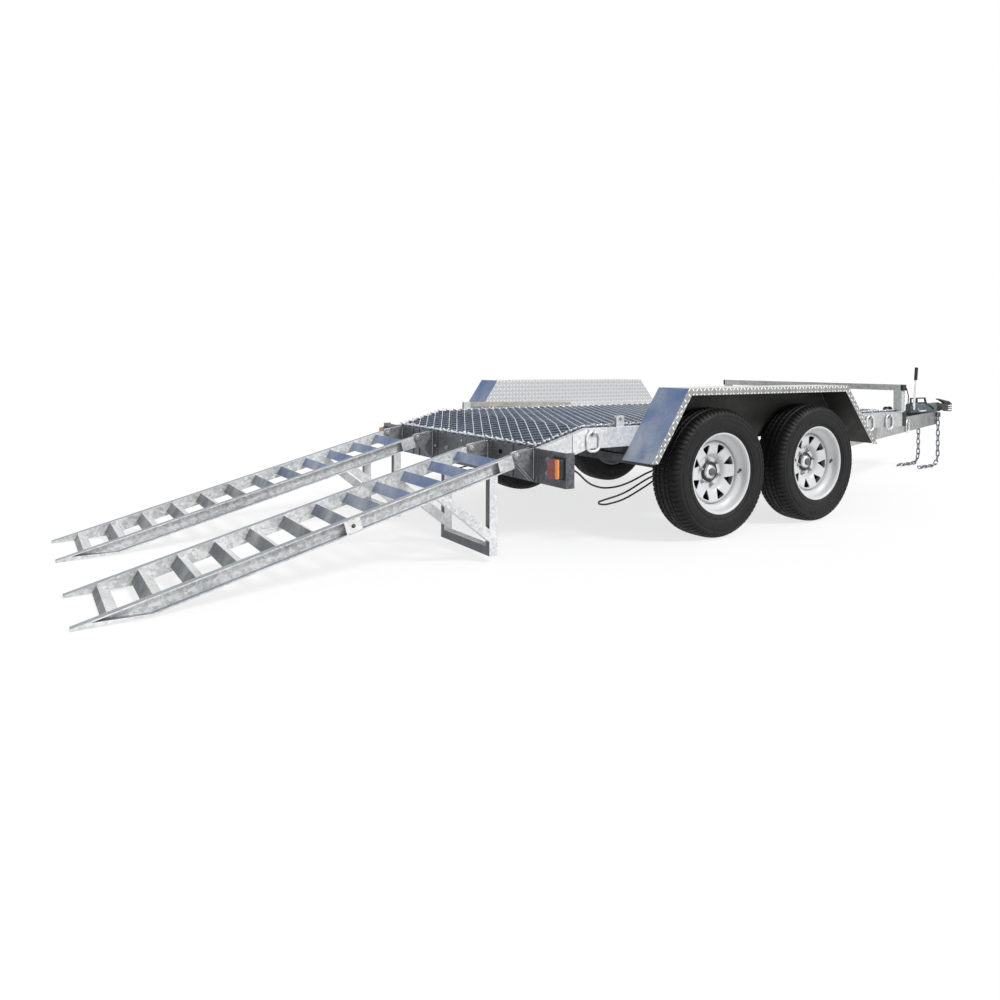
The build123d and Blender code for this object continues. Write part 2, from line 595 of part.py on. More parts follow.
def eye_plate(web_y, outward):
    """The hinge eye plate, lapped on the web inside the rail and reaching round the pin."""
    y0, y1 = web_y + outward * RAMP_RAIL_WALL, web_y + outward * (RAMP_RAIL_WALL + EYE_PLATE_WALL)
    low = RAIL_ABOVE_PIN - RAMP_RAIL_DEPTH + RAMP_RAIL_WALL
    high = RAIL_ABOVE_PIN - RAMP_RAIL_WALL
    outline = [(0, high), (EYE_PLATE_LENGTH, high), (EYE_PLATE_LENGTH, low), (EYE_RADIUS, low),
               (0, -EYE_RADIUS)]
    plate = side_prism([slope_point(*p) for p in outline], y0, y1)
    plate += cross_rod(hinge_x, HINGE_Z, EYE_RADIUS, y0, y1)
    reach = RAMP_RAIL_FLANGE
    return plate - cross_rod(hinge_x, HINGE_Z, PIN_RADIUS + PIN_CLEARANCE, y0 - reach, y1 + reach)


def ramp_rails():
    """Both rails of the left ramp with their eye plates."""
    pieces = []
    for outward in (-1, 1):
        web_y = ramp_y + outward * RAMP_CLEAR_WIDTH / 2
        pieces.append(ramp_rail(web_y, outward) + eye_plate(web_y, outward))
    return pieces


def rungs():
    """Inverted angle rungs between the webs of a ramp's rails, cut level with the rails' underside."""
    spread = radians(RUNG_HALF_ANGLE)
    drop, reach = RUNG_LEG * cos(spread), RUNG_LEG * sin(spread)
    wall = RUNG_WALL / sin(spread)
    ridge = RAIL_ABOVE_PIN - RUNG_BELOW_RAIL
    y0 = ramp_y - RAMP_CLEAR_WIDTH / 2
    pieces = []
    for k in range(rung_count):
        s = FIRST_RUNG + k * RUNG_PITCH
        outline = [(s, ridge), (s + reach, ridge - drop), (s + reach - wall, ridge - drop),
                   (s, ridge - wall), (s - reach + wall, ridge - drop), (s - reach, ridge - drop)]
        rung = side_prism([slope_point(*p) for p in outline], y0, y0 + RAMP_CLEAR_WIDTH)
        pieces.append(rung & rail_profile(y0, y0 + RAMP_CLEAR_WIDTH))
    return pieces


def underside(x):
    """Height of a lowered ramp rail's underside at x."""
    x0, z0 = slope_point(0, RAIL_ABOVE_PIN - RAMP_RAIL_DEPTH)
    return z0 + (x - x0) * tan(ramp_angle)


def ramp_stand():
    """Posts, cross bar and braces that carry a lowered ramp near its hinge."""
    front = hinge_x - STAND_BACK + STAND_POST / 2
    rear = front - STAND_POST
    upper = rear - STAND_BRACE_BACK
    post = [(rear, STAND_FOOT_Z), (front, STAND_FOOT_Z), (front, underside(front)), (rear, underside(rear))]
    brace = [(rear, STAND_BRACE_LOW), (rear, STAND_BRACE_LOW + STAND_BRACE_DEPTH),
             (upper, underside(upper)), (upper - STAND_BRACE_WIDTH, underside(upper - STAND_BRACE_WIDTH))]
    half = RAMP_CLEAR_WIDTH / 2
    stand = block(rear, front, ramp_y - half, ramp_y + half, STAND_FOOT_Z, STAND_FOOT_Z + STAND_POST)
    for outward in (-1, 1):
        web_y = ramp_y + outward * half
        edge = web_y + outward * RAMP_RAIL_FLANGE
        stand += side_prism(post, web_y, edge) + side_prism(brace, web_y, edge)
    return stand


def ramp_catch():
    """Plate with a hole across the outer rail, which the stay is pinned to."""
    outer = ramp_y + RAMP_CLEAR_WIDTH / 2 + RAMP_RAIL_FLANGE
    low = RAIL_ABOVE_PIN - RAMP_RAIL_DEPTH + RAMP_RAIL_WALL
    high = RAIL_ABOVE_PIN - RAMP_RAIL_WALL
    s0, s1 = STAY_CATCH - CATCH_LENGTH / 2, STAY_CATCH + CATCH_LENGTH / 2
    outline = [slope_point(s0, high), slope_point(s1, high), slope_point(s1, low), slope_point(s0, low)]
    plate = side_prism(outline, outer - CATCH_WALL, outer)
    x, z = slope_point(STAY_CATCH, catch_above)
    return plate - cross_rod(x, z, CATCH_HOLE_RADIUS, outer - 2 * CATCH_WALL, outer + CATCH_WALL)


def eye_middle(outward):
    """Middle of a hinge eye plate's thickness, across the trailer."""
    return ramp_y + outward * (RAMP_CLEAR_WIDTH / 2 + RAMP_RAIL_WALL + EYE_PLATE_WALL / 2)


def hinge_lugs():
    """Triangular lugs on the rear panel, one on each side of every ramp eye."""
    outline = [(panel_x, panel_top), (hinge_x, HINGE_Z + LUG_NOSE_RADIUS),
               (hinge_x - LUG_TOE_DROP, HINGE_Z - LUG_TOE_DROP), (panel_x, panel_bottom)]
    pieces = []
    for outward in (-1, 1):
        for step in (-1, 1):
            y0 = eye_middle(outward) + step * (EYE_PLATE_WALL / 2 + LUG_GAP)
            lug = side_prism(outline, y0, y0 + step * LUG_WALL)
            lug += cross_rod(hinge_x, HINGE_Z, LUG_NOSE_RADIUS, y0, y0 + step * LUG_WALL)
            lug -= cross_rod(hinge_x, HINGE_Z, PIN_RADIUS, y0 - LUG_WALL, y0 + 2 * LUG_WALL)
            pieces.append(lug)
    return pieces


def hinge_pins():
    """The ramp hinge pins, each through two lugs, with a head at both ends."""
    pieces = []
    for outward in (-1, 1):
        eye = eye_middle(outward)
        reach = EYE_PLATE_WALL / 2 + LUG_GAP + LUG_WALL
        pin = cross_rod(hinge_x, HINGE_Z, PIN_RADIUS, eye - reach, eye + reach)
        for step in (-1, 1):
            head = eye + step * reach
            pin += cross_rod(hinge_x, HINGE_Z, PIN_HEAD_RADIUS, head, head + step * PIN_HEAD_LENGTH)
        pieces.append(pin)
    return pieces


def stay_arm():
    """Flat bar stay, stowed forward along the deck, with an eye at each end."""
    y0, y1 = stay_y - STAY_WALL / 2, stay_y + STAY_WALL / 2
    half = STAY_DEPTH / 2
    bar = side_prism([(0, -half), (stay_length, -half), (stay_length, half), (0, half)], y0, y1)
    for x in (0, stay_length):
        bar += cross_rod(x, 0, half, y0, y1)
    bar -= cross_rod(0, 0, STAY_EYE_RADIUS + PIN_CLEARANCE, y0 - STAY_WALL, y1 + STAY_WALL)
    bar -= cross_rod(stay_length, 0, STAY_EYE_RADIUS, y0 - STAY_WALL, y1 + STAY_WALL)
    return Pos(stay_x, 0, stay_z) * Rot(0, stay_tilt, 0) * bar


def stay_cheeks():
    """Two upright cheeks on the side rail with a hole for the stay's pin through them."""
    high = stay_z + STAY_DEPTH / 2
    half = STAY_BRACKET_LENGTH / 2
    inner = STAY_WALL / 2 + STAY_BRACKET_GAP
    hole = cross_rod(stay_x, stay_z, STAY_EYE_RADIUS, stay_y - STAY_DEPTH, stay_y + STAY_DEPTH)
    cheeks = []
    for step in (-1, 1):
        y = stay_y + step * inner
        cheek = block(stay_x - half, stay_x + half, y, y + step * STAY_BRACKET_WALL, DECK_TOP, high)
        cheeks.append(cheek - hole)
    return cheeks


def pinned_bracket():
    """The cheeks with the stay's pin through them."""
    reach = STAY_WALL / 2 + STAY_BRACKET_GAP + STAY_BRACKET_WALL
    bracket = cross_rod(stay_x, stay_z, STAY_EYE_RADIUS, stay_y - reach, stay_y + reach)
    for cheek in stay_cheeks():
        bracket += cheek
    return bracket


def ring():
    """A lashing ring that hangs in front of the plane y = 0, its top at z = 0."""
    half_x = RING_WIDTH / 2 - RING_BAR_RADIUS
    half_z = RING_HEIGHT / 2 - RING_BAR_RADIUS
    line = RectangleRounded(2 * half_x, 2 * half_z, RING_CORNER_RADIUS).edges()
    path = Wire(line)
    start = Plane(origin=path @ 0, z_dir=path % 0)
    body = sweep(start * Circle(RING_BAR_RADIUS), path=path, transition=Transition.ROUND)
    out = RING_OFF_WALL + RING_BAR_RADIUS
    return Pos(0, out, -RING_HEIGHT / 2) * Rot(90, 0, 0) * body


def ring_hook():
    """The hook that a lashing ring hangs on, welded to the plane y = 0."""
    shelf = -2 * RING_BAR_RADIUS
    out = 2 * (RING_OFF_WALL + RING_BAR_RADIUS)
    half = RING_HOOK_LENGTH / 2
    hook = block(-half, half, 0, out + RING_HOOK_WALL, shelf - RING_HOOK_WALL, shelf)
    return hook + block(-half, half, out, out + RING_HOOK_WALL, shelf, shelf + RING_HOOK_LIP)


def ring_places():
    """Where the left side's lashing rings hang, on the side rail and on the drawbar member."""
    places = [Pos(axles_x + x, HALF_FRAME, DECK_TOP - RING_DROP) for x in RING_X]
    x = axles_x + DRAWBAR_RING_X
    y = drawbar_rear_y - (x - drawbar_rear_x) * drawbar_slope
    return places + [Pos(x, y, drawbar_top - RING_DROP) * Rot(0, 0, -degrees(atan2(drawbar_slope, 1)))]


def tyre():
    """A tyre about the Y axis, in straight bands between its beads."""
    half = TYRE_WIDTH / 2
    seat = RIM_HALF_WIDTH - RIM_WALL
    facet = cos(pi / TYRE_SIDES)
    right = [((RIM_RADIUS - RIM_LIP) / facet, seat), (RIM_RADIUS / facet, seat)]
    right += [(TYRE_RADIUS - below, half - inside) for below, inside in TYRE_SECTION]
    return turned_flat([(r, -y) for r, y in right] + right[::-1], TYRE_SIDES)


def rim():
    """A drop-centre steel wheel about the Y axis, outboard side towards +Y."""
    edge, bead, well = RIM_HALF_WIDTH, RIM_RADIUS - RIM_LIP, RIM_WELL_RADIUS
    seat, bed, wall = RIM_HALF_WIDTH - RIM_FLANGE_WIDTH, RIM_WELL_HALF_WIDTH, RIM_WALL
    half_outer = [(RIM_RADIUS, edge), (RIM_RADIUS, edge - wall), (bead, edge - wall), (bead, seat),
                  (well, bed)]
    half_inner = [(well - wall, bed + wall / 2), (bead - wall, seat + wall / 2), (bead - wall, edge)]
    profile = [(r, -y) for r, y in half_outer] + half_outer[::-1]
    profile += half_inner[::-1] + [(r, -y) for r, y in half_inner]
    barrel = turned(profile)
    face, crown, thick = -DISC_INSET, DISH_OUT, RIM_DISC_WALL
    rise = RIM_WELL_RADIUS - RIM_WALL
    disc = turned([(DISC_BORE_RADIUS, face - thick), (DISC_FLAT_RADIUS, face - thick),
                   (WINDOW_OUTER_RADIUS, crown - thick), (rise, crown - 2 * thick), (rise, crown - thick),
                   (WINDOW_OUTER_RADIUS, crown), (DISC_FLAT_RADIUS, face), (DISC_BORE_RADIUS, face)])
    window = plan_prism([(WINDOW_INNER_RADIUS, 0), (WINDOW_OUTER_RADIUS, -WINDOW_HALF_WIDTH),
                         (WINDOW_OUTER_RADIUS, WINDOW_HALF_WIDTH)], -RIM_HALF_WIDTH, RIM_HALF_WIDTH)
    for k in range(WHEEL_WINDOWS):
        disc -= Rot(0, k * 360 / WHEEL_WINDOWS, 0) * Rot(90, 0, 0) * window
    return barrel + disc


def hub():
    """Brake drum, hub barrel and dust cap about the Y axis, hollow for the stub axle."""
    back = -DISC_INSET - RIM_DISC_WALL
    bore = STUB_RADIUS + STUB_CLEARANCE
    cap = HUB_OUT + STUB_END_GAP
    return turned([(DRUM_RADIUS, back), (DRUM_RADIUS, back - DRUM_WIDTH),
                   (DRUM_RADIUS - DRUM_WALL, back - DRUM_WIDTH), (DRUM_RADIUS - DRUM_WALL, back - DRUM_WALL),
                   (bore, back - DRUM_WALL), (bore, cap), (0, cap), (0, CAP_OUT),
                   (CAP_RADIUS - CAP_EDGE, CAP_OUT), (CAP_RADIUS, CAP_OUT - CAP_EDGE), (CAP_RADIUS, HUB_OUT),
                   (DISC_BORE_RADIUS, HUB_OUT), (DISC_BORE_RADIUS, back)])


def axle(x):
    """Square axle tube with its spring seats, stub axles and brake backplates."""
    half = AXLE_TUBE / 2
    plate = wheel_y - DISC_INSET - RIM_DISC_WALL - DRUM_WIDTH - BACKPLATE_GAP
    end = plate - BACKPLATE_WALL
    top = wheel_z + half
    body = block(x - half, x + half, -end, end, wheel_z - half, top)
    seat = block(x - half, x + half, spring_y - SPRING_WIDTH / 2, spring_y + SPRING_WIDTH / 2,
                 top, top + SPRING_SEAT)
    backplate = cross_rod(x, wheel_z, DRUM_RADIUS, end, plate)
    stub = cross_rod(x, wheel_z, STUB_RADIUS, end, wheel_y + HUB_OUT)
    for piece in both(seat + backplate + stub):
        body += piece
    return body


def arc_prism(x, centre_z, outer, inner, half_angle, y0, y1):
    """A slice of a ring seen from the side, hanging evenly below its centre."""
    def at(radius, angle):
        return (x + radius * sin(angle), y0, centre_z - radius * cos(angle))

    edges = [ThreePointArc(at(outer, -half_angle), at(outer, 0), at(outer, half_angle)),
             Line(at(outer, half_angle), at(inner, half_angle)),
             ThreePointArc(at(inner, half_angle), at(inner, 0), at(inner, -half_angle)),
             Line(at(inner, -half_angle), at(outer, -half_angle))]
    return extrude(make_face(edges), amount=y1 - y0, dir=(0, 1, 0))


def leaf_spring(x):
    """Leaf pack over an axle with its eyes, top plate and the two U-bolts around the tube."""
    y0, y1 = spring_y - SPRING_WIDTH / 2, spring_y + SPRING_WIDTH / 2
    reach = asin(SPRING_SPAN / 2 / spring_radius)
    pack = None
    for k, share in enumerate(LEAF_SHARES):
        outer = spring_centre - pack_low - k * LEAF_THICK
        leaf = arc_prism(x, spring_centre, outer, outer - LEAF_THICK, reach * share, y0, y1)
        pack = leaf if pack is None else pack + leaf
    for step in (-1, 1):
        pack += cross_rod(x + step * SPRING_SPAN / 2, spring_eye_z, SPRING_EYE_RADIUS, y0, y1)
    half_plate, side = SPRING_PLATE_LENGTH / 2, SPRING_WIDTH / 2 + U_BOLT_RADIUS
    plate_z = main_low + LEAF_THICK
    bolt_x = AXLE_TUBE / 2 + U_BOLT_RADIUS
    low = wheel_z - AXLE_TUBE / 2 - 2 * U_BOLT_RADIUS
    high = plate_z + SPRING_SEAT + U_BOLT_RADIUS
    pack += block(x - half_plate, x + half_plate, y0 - 2 * U_BOLT_RADIUS, y1 + 2 * U_BOLT_RADIUS,
                  plate_z, plate_z + SPRING_SEAT)
    for step in (-1, 1):
        bolt = x + step * bolt_x
        for y in (spring_y - side, spring_y + side):
            pack += Pos(bolt, y, (low + high) / 2) * Cylinder(U_BOLT_RADIUS, high - low)
        pack += cross_rod(bolt, low + U_BOLT_RADIUS, U_BOLT_RADIUS, spring_y - side, spring_y + side)
    return pack


def spring_hangers():
    """Cheeks under a side rail for the outer spring eyes, and the rocker between the inner ones."""
    low, eye = spring_eye_z - SPRING_EYE_RADIUS, SPRING_EYE_RADIUS
    reach = AXLE_SPACING / 2 + SPRING_SPAN / 2
    inner = AXLE_SPACING / 2 - SPRING_SPAN / 2 + eye
    half = HANGER_LENGTH / 2
    top = ROCKER_TOP_LENGTH / 2
    shoulder = spring_eye_z + eye / 2
    rocker = [(axles_x - inner, low), (axles_x + inner, low), (axles_x + inner, shoulder),
              (axles_x + top, rail_bottom), (axles_x - top, rail_bottom), (axles_x - inner, shoulder)]
    pieces = []
    for step in (-1, 1):
        y0 = spring_y + step * SPRING_WIDTH / 2
        y1 = y0 + step * HANGER_WALL
        pieces.append(side_prism(rocker, y0, y1))
        for x in (axles_x - reach, axles_x + reach):
            pieces.append(block(x - half, x + half, y0, y1, low, rail_bottom))
    return pieces


def front_rail():
    """Square tube across the front of the deck."""
    half = HALF_FRAME - FRONT_RAIL_INSET
    z0 = FRONT_RAIL_TOP - FRONT_RAIL_SECTION
    return block(front_x - FRONT_RAIL_SECTION, front_x, -half, half, z0, FRONT_RAIL_TOP)


def front_post():
    """Corner post that carries one end of the front rail."""
    half = FRONT_POST_WIDTH / 2
    y = HALF_FRAME - FRONT_POST_INSET
    return block(front_x - FRONT_RAIL_SECTION, front_x, y - half, y + half,
                 DECK_TOP, FRONT_RAIL_TOP - FRONT_RAIL_SECTION)


def black_ends():
    """Plug in the front rail's end, and the black plate at the side rail's front end."""
    y = HALF_FRAME - FRONT_RAIL_INSET
    plug = block(front_x - FRONT_RAIL_SECTION, front_x, y, y + FRONT_CAP_LENGTH,
                 FRONT_RAIL_TOP - FRONT_RAIL_SECTION, FRONT_RAIL_TOP)
    marker = block(front_x - MARKER_LENGTH, front_x, HALF_FRAME, HALF_FRAME + MARKER_THICK,
                   rail_bottom, DECK_TOP - RAIL_WALL)
    return [plug, marker]


def drawbar_member():
    """One leg of the drawbar's A-frame, a channel open towards the middle."""
    x0, x1 = drawbar_rear_x, drawbar_front_x
    y0, y1 = drawbar_rear_y, DRAWBAR_HALF_NOSE

    def strip(near, far, low, high):
        return plan_prism([(x0, y0 - near), (x1, y1 - near), (x1, y1 - far), (x0, y0 - far)], low, high)

    body = strip(0, DRAWBAR_FLANGE, drawbar_bottom, drawbar_top)
    return body - strip(DRAWBAR_WALL, 2 * DRAWBAR_FLANGE, drawbar_bottom + DRAWBAR_WALL,
                        drawbar_top - DRAWBAR_WALL)


def coupling_housing():
    """Overrun housing on top of the drawbar's nose, with the plate for the handbrake's pivot."""
    half, bevel, top = HOUSING_HALF_WIDTH, HOUSING_BEVEL, housing_top
    rear = head_rear - HOUSING_LENGTH
    section = [(-half, drawbar_top), (half, drawbar_top), (half, top - bevel), (half - bevel, top),
               (bevel - half, top), (-half, top - bevel)]
    face = make_face(Polyline([(rear, y, z) for y, z in section], close=True))
    housing = extrude(face, amount=HOUSING_LENGTH, dir=(1, 0, 0))
    return housing + block(brake_x - BRAKE_CHEEK_REACH, rear, brake_y, brake_y + BRAKE_CHEEK_WALL,
                           drawbar_top, top - bevel)


def coupling_head():
    """Ball coupling: shaft, neck and a round cup with its socket open below."""
    neck_x = head_rear + GAITER_LENGTH
    shaft = Rot(0, 90, 0) * Cylinder(SHAFT_RADIUS, GAITER_LENGTH)
    shaft = Pos((head_rear + neck_x) / 2, 0, head_mid_z) * shaft
    neck = block(neck_x, ball_x, -HEAD_NECK_HALF_WIDTH, HEAD_NECK_HALF_WIDTH,
                 head_mid_z - HEAD_NECK_HEIGHT / 2, head_mid_z + HEAD_NECK_HEIGHT / 2)
    cup = Pos(ball_x, 0, head_mid_z) * Cylinder(HEAD_HALF_WIDTH, HEAD_HEIGHT)
    cup = chamfer(cup.edges().sort_by(Axis.Z)[-1], HEAD_BEVEL)
    socket = Pos(ball_x, 0, head_low + SOCKET_DEPTH / 2) * Cylinder(SOCKET_RADIUS, SOCKET_DEPTH)
    return shaft + neck + cup - socket


def coupling_gaiter():
    """Ribbed rubber sleeve on the coupling's shaft."""
    pitch = GAITER_LENGTH / GAITER_RIDGES
    low, high = SHAFT_RADIUS + GAITER_WALL, GAITER_RIDGE_RADIUS
    profile = [(0, SHAFT_RADIUS)]
    for k in range(GAITER_RIDGES):
        profile += [(k * pitch, low), ((k + 0.5) * pitch, high)]
    profile += [(GAITER_LENGTH, low), (GAITER_LENGTH, SHAFT_RADIUS)]
    face = make_face(Polyline([(head_rear + x, 0, head_mid_z + r) for x, r in profile], close=True))
    return revolve(face, Axis((head_rear, 0, head_mid_z), (1, 0, 0)), 360)


def coupling_handle():
    """Lever on top of the coupling, rising to the rear."""
    x0, x1, foot = ball_x - HANDLE_LENGTH, ball_x, ball_x - HANDLE_HALF_WIDTH
    rear, front = head_high + HANDLE_RISE, head_high
    outline = [(x0, rear), (foot, front + HANDLE_WALL), (x1, front + HANDLE_WALL), (x1, front),
               (foot, front), (x0, rear - HANDLE_WALL)]
    return side_prism(outline, -HANDLE_HALF_WIDTH, HANDLE_HALF_WIDTH)


def guard_loop():
    """Flat loop with two windows that stands along the top of the housing."""
    x0 = head_rear - HOUSING_LENGTH
    x1 = x0 + GUARD_LOOP_LENGTH
    low = housing_top
    high, wall = low + GUARD_LOOP_HEIGHT, GUARD_LOOP_WALL
    foot, middle = GUARD_LOOP_FOOT, x0 + GUARD_LOOP_LENGTH / 3
    half = GUARD_LOOP_THICK / 2
    loop = side_prism([(x0, low), (x1, low), (x1 - foot, high), (x0, high)], -half, half)
    first = [(x0 + wall, low + wall), (middle, low + wall), (middle, high - wall), (x0 + wall, high - wall)]
    second = [(middle + 2 * wall, low + wall), (x1 - 2 * wall, low + wall), (x1 - foot - wall, high - wall),
              (middle + 2 * wall, high - wall)]
    for window in (first, second):
        loop -= side_prism(window, -GUARD_LOOP_THICK, GUARD_LOOP_THICK)
    return loop


def lever_point(along, aside):
    """A point of the handbrake lever, along its length from the pivot and square ahead of it."""
    return (brake_x + along * sin(brake_lean) + aside * cos(brake_lean),
            brake_z + along * cos(brake_lean) - aside * sin(brake_lean))


def handbrake_lever():
    """Flat lever beside the housing, with the boss of its pivot."""
    half, y1 = BRAKE_LEVER_WIDTH / 2, brake_y - BRAKE_LEVER_WALL
    corners = ((0, -half), (0, half), (grip_start, half / 2), (grip_start, -half / 2))
    lever = side_prism([lever_point(*corner) for corner in corners], y1, brake_y)
    return lever + cross_rod(brake_x, brake_z, half, y1, brake_y)


def handbrake_grip():
    """Round grip on the end of the handbrake lever."""
    x, z = lever_point((grip_start + grip_end) / 2, 0)
    return Pos(x, brake_y - BRAKE_LEVER_WALL / 2, z) * Rot(0, BRAKE_LEVER_LEAN, 0) * Cylinder(
        BRAKE_GRIP_RADIUS, grip_end - grip_start)


def nose_plate():
    """Plate that closes the front end of the drawbar."""
    half = DRAWBAR_HALF_NOSE
    return block(drawbar_front_x, drawbar_front_x + NOSE_PLATE_WALL, -half, half, drawbar_bottom, drawbar_top)


def chain_lug():
    """Upright lug with a hole, on the outer face of a drawbar member."""
    x0, x1 = chain_x - CHAIN_LUG_WALL / 2, chain_x + CHAIN_LUG_WALL / 2
    outer = chain_y + CHAIN_LUG_WIDTH / 2
    inner = [(x, drawbar_rear_y - (x - drawbar_rear_x) * drawbar_slope) for x in (x0, x1)]
    lug = plan_prism(inner + [(x1, outer), (x0, outer)], drawbar_top - CHAIN_LUG_HEIGHT, drawbar_top)
    hole = Rot(0, 90, 0) * Cylinder(CHAIN_HOLE_RADIUS, 4 * CHAIN_LUG_WALL)
    return lug - Pos(chain_x, chain_y, chain_hole_z) * hole


def link():
    """One chain link, long along X, flat in the XY plane, its middle at the origin."""
    def ring_line(inset):
        a = CHAIN_PITCH / 2 + CHAIN_WIRE - inset
        b = CHAIN_LINK_WIDTH / 2 - inset
        c = CHAIN_LINK_BEVEL - inset * (2 - sqrt(2))
        corners = [(a, c - b), (a, b - c), (a - c, b), (c - a, b),
                   (-a, b - c), (-a, c - b), (c - a, -b), (a - c, -b)]
        return Wire.make_polygon([(x, y, 0) for x, y in corners], close=True)

    plate = extrude(Face(ring_line(0), [ring_line(CHAIN_WIRE)]), amount=CHAIN_WIRE, dir=(0, 0, 1))
    return Pos(0, 0, -CHAIN_WIRE / 2) * plate


def chain():
    """Links from the left lug straight down, through a bend, and back along the floor."""
    pitch = CHAIN_PITCH + CHAIN_BITE
    seat = sqrt(CHAIN_HOLE_RADIUS ** 2 - (CHAIN_WIRE / 2) ** 2)
    hang, floor = CHAIN_HANG_LINKS, len(CHAIN_FLOOR_SPREAD)
    turns = [0] * hang + list(CHAIN_TURN) + [-90] * floor
    rolls = [0] * hang + list(CHAIN_ROLL) + [CHAIN_ROLL[-1]] * floor
    swings = [0] * (hang + len(CHAIN_TURN)) + list(CHAIN_FLOOR_SPREAD)
    x, y, z = chain_x, chain_y, chain_hole_z - seat + CHAIN_SEAT_GAP
    body = None
    for k, (turn, roll, swing) in enumerate(zip(turns, rolls, swings)):
        a, b = radians(turn), radians(swing)
        step = (sin(a) * cos(b), abs(sin(a)) * sin(b), -cos(a))
        middle = [c + d * CHAIN_PITCH / 2 for c, d in zip((x, y, z), step)]
        place = Plane(origin=middle, x_dir=step, z_dir=(cos(a), 0, sin(a)))
        piece = place * Rot(roll + 90 * ((k + 1) % 2), 0, 0) * link()
        body = piece if body is None else body + piece
        x, y, z = (c + d * pitch for c, d in zip((x, y, z), step))
    return body


def cable(corners):
    """A cable along straight runs joined by the largest arcs that fit."""
    points = [Vector(axles_x + x, y, z) for x, y, z in corners]
    edges = []
    last = points[0]
    for a, b, c in zip(points, points[1:], points[2:]):
        u, v = (b - a).normalized(), (c - b).normalized()
        reach = min((b - a).length, (c - b).length) / 2
        half = radians(u.get_angle(v)) / 2
        lift = reach * (1 / sin(half) - 1 / tan(half))
        start, middle, end = b - u * reach, b + (v - u).normalized() * lift, b + v * reach
        if (start - last).length > CABLE_RADIUS / 100:
            edges.append(Edge.make_line(last, start))
        edges.append(Edge.make_three_point_arc(start, middle, end))
        last = end
    edges.append(Edge.make_line(last, points[-1]))
    path = Wire(edges)
    return sweep(Plane(origin=path @ 0, z_dir=path % 0) * Circle(CABLE_RADIUS), path=path)


for side_name, side in sides:
    hooks = [place * ring_hook() for place in ring_places()]
    rail, member = side_rail(), drawbar_member()
    for hook in hooks[:-1]:
        rail += hook
    member += hooks[-1]
    save("side_rail_" + side_name, on_side(rail, side))
    save("drawbar_member_" + side_name, on_side(member, side))
    save("wheel_guard_" + side_name, on_side(guard(), side))
    save("ramp_rails_" + side_name, [on_side(piece, side) for piece in ramp_rails()])
    save("ramp_rungs_" + side_name, [on_side(piece, side) for piece in rungs()])
    save("ramp_stand_" + side_name, on_side(ramp_stand(), side))
    save("ramp_catch_" + side_name, on_side(ramp_catch(), side))
    save("safety_chain_" + side_name, on_side(chain(), side))
    for axle_name, x in axle_places:
        place = Pos(x, wheel_y, wheel_z)
        wheel_name = axle_name + "_" + side_name
        save("tyre_" + wheel_name, on_side(place * tyre(), side))
        save("rim_" + wheel_name, on_side(place * rim(), side))
        save("hub_" + wheel_name, on_side(place * hub(), side))

for axle_name, x in axle_places:
    save("axle_" + axle_name, axle(x))

mirrored = (
    ("ramp_hinge_pins", hinge_pins()),
    ("hinge_lugs", hinge_lugs()),
    ("lashing_rings", [place * ring() for place in ring_places()]),
    ("leaf_springs", [leaf_spring(x) for axle_name, x in axle_places]),
    ("spring_hangers", spring_hangers()),
    ("lamp_backs", [lamp_piece(lamp_inner - LAMP_BACK_EDGE, lamp_out + LAMP_BACK_EDGE, LAMP_BACK_EDGE,
                               LAMP_BACK_DEPTH, 0)]),
    ("lamp_red", [lamp_piece(lamp_inner, lamp_split, 0, LAMP_DEPTH - LAMP_BACK_DEPTH, LAMP_BACK_DEPTH)]),
    ("lamp_amber", [lamp_piece(lamp_split, lamp_out, 0, LAMP_DEPTH - LAMP_BACK_DEPTH, LAMP_BACK_DEPTH)]),
    ("front_posts", [front_post()]),
    ("rail_ends", black_ends()),
    ("brake_cables", [cable(BRAKE_CABLE)]),
    ("lamp_cables", [cable(LAMP_CABLE)]),
)
for node, pieces in mirrored:
    save(node, [copy for piece in pieces for copy in both(piece)])

# The left stay is in place; the right one and its pin are missing, and its bracket stands open
save("stay_arm_left", stay_arm())
save("stay_brackets", [pinned_bracket()] + [on_side(cheek, -1) for cheek in stay_cheeks()])

save("deck_floor", floor_sheet())
save("mesh_strands_lower", deck_mesh(-1, 0))
save("mesh_strands_upper", deck_mesh(1, MESH_THICK / 2))
save("cross_bearers", bearers() + [front_member()])
save("rear_panel", rear_panel())
save("front_rail", front_rail())
save("drawbar_nose", [nose_plate()] + both(chain_lug()))
save("coupling_housing", coupling_housing())
save("coupling_gaiter", coupling_gaiter())
save("coupling_head", coupling_head())
save("coupling_handle", coupling_handle())
save("housing_loop", guard_loop())
save("handbrake_lever", handbrake_lever())
save("handbrake_grip", handbrake_grip())
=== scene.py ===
import bmesh
import bpy
from math import atan2, ceil, cos, floor as round_down, hypot, pi, radians, sin
from mathutils import Matrix, Vector
from random import Random


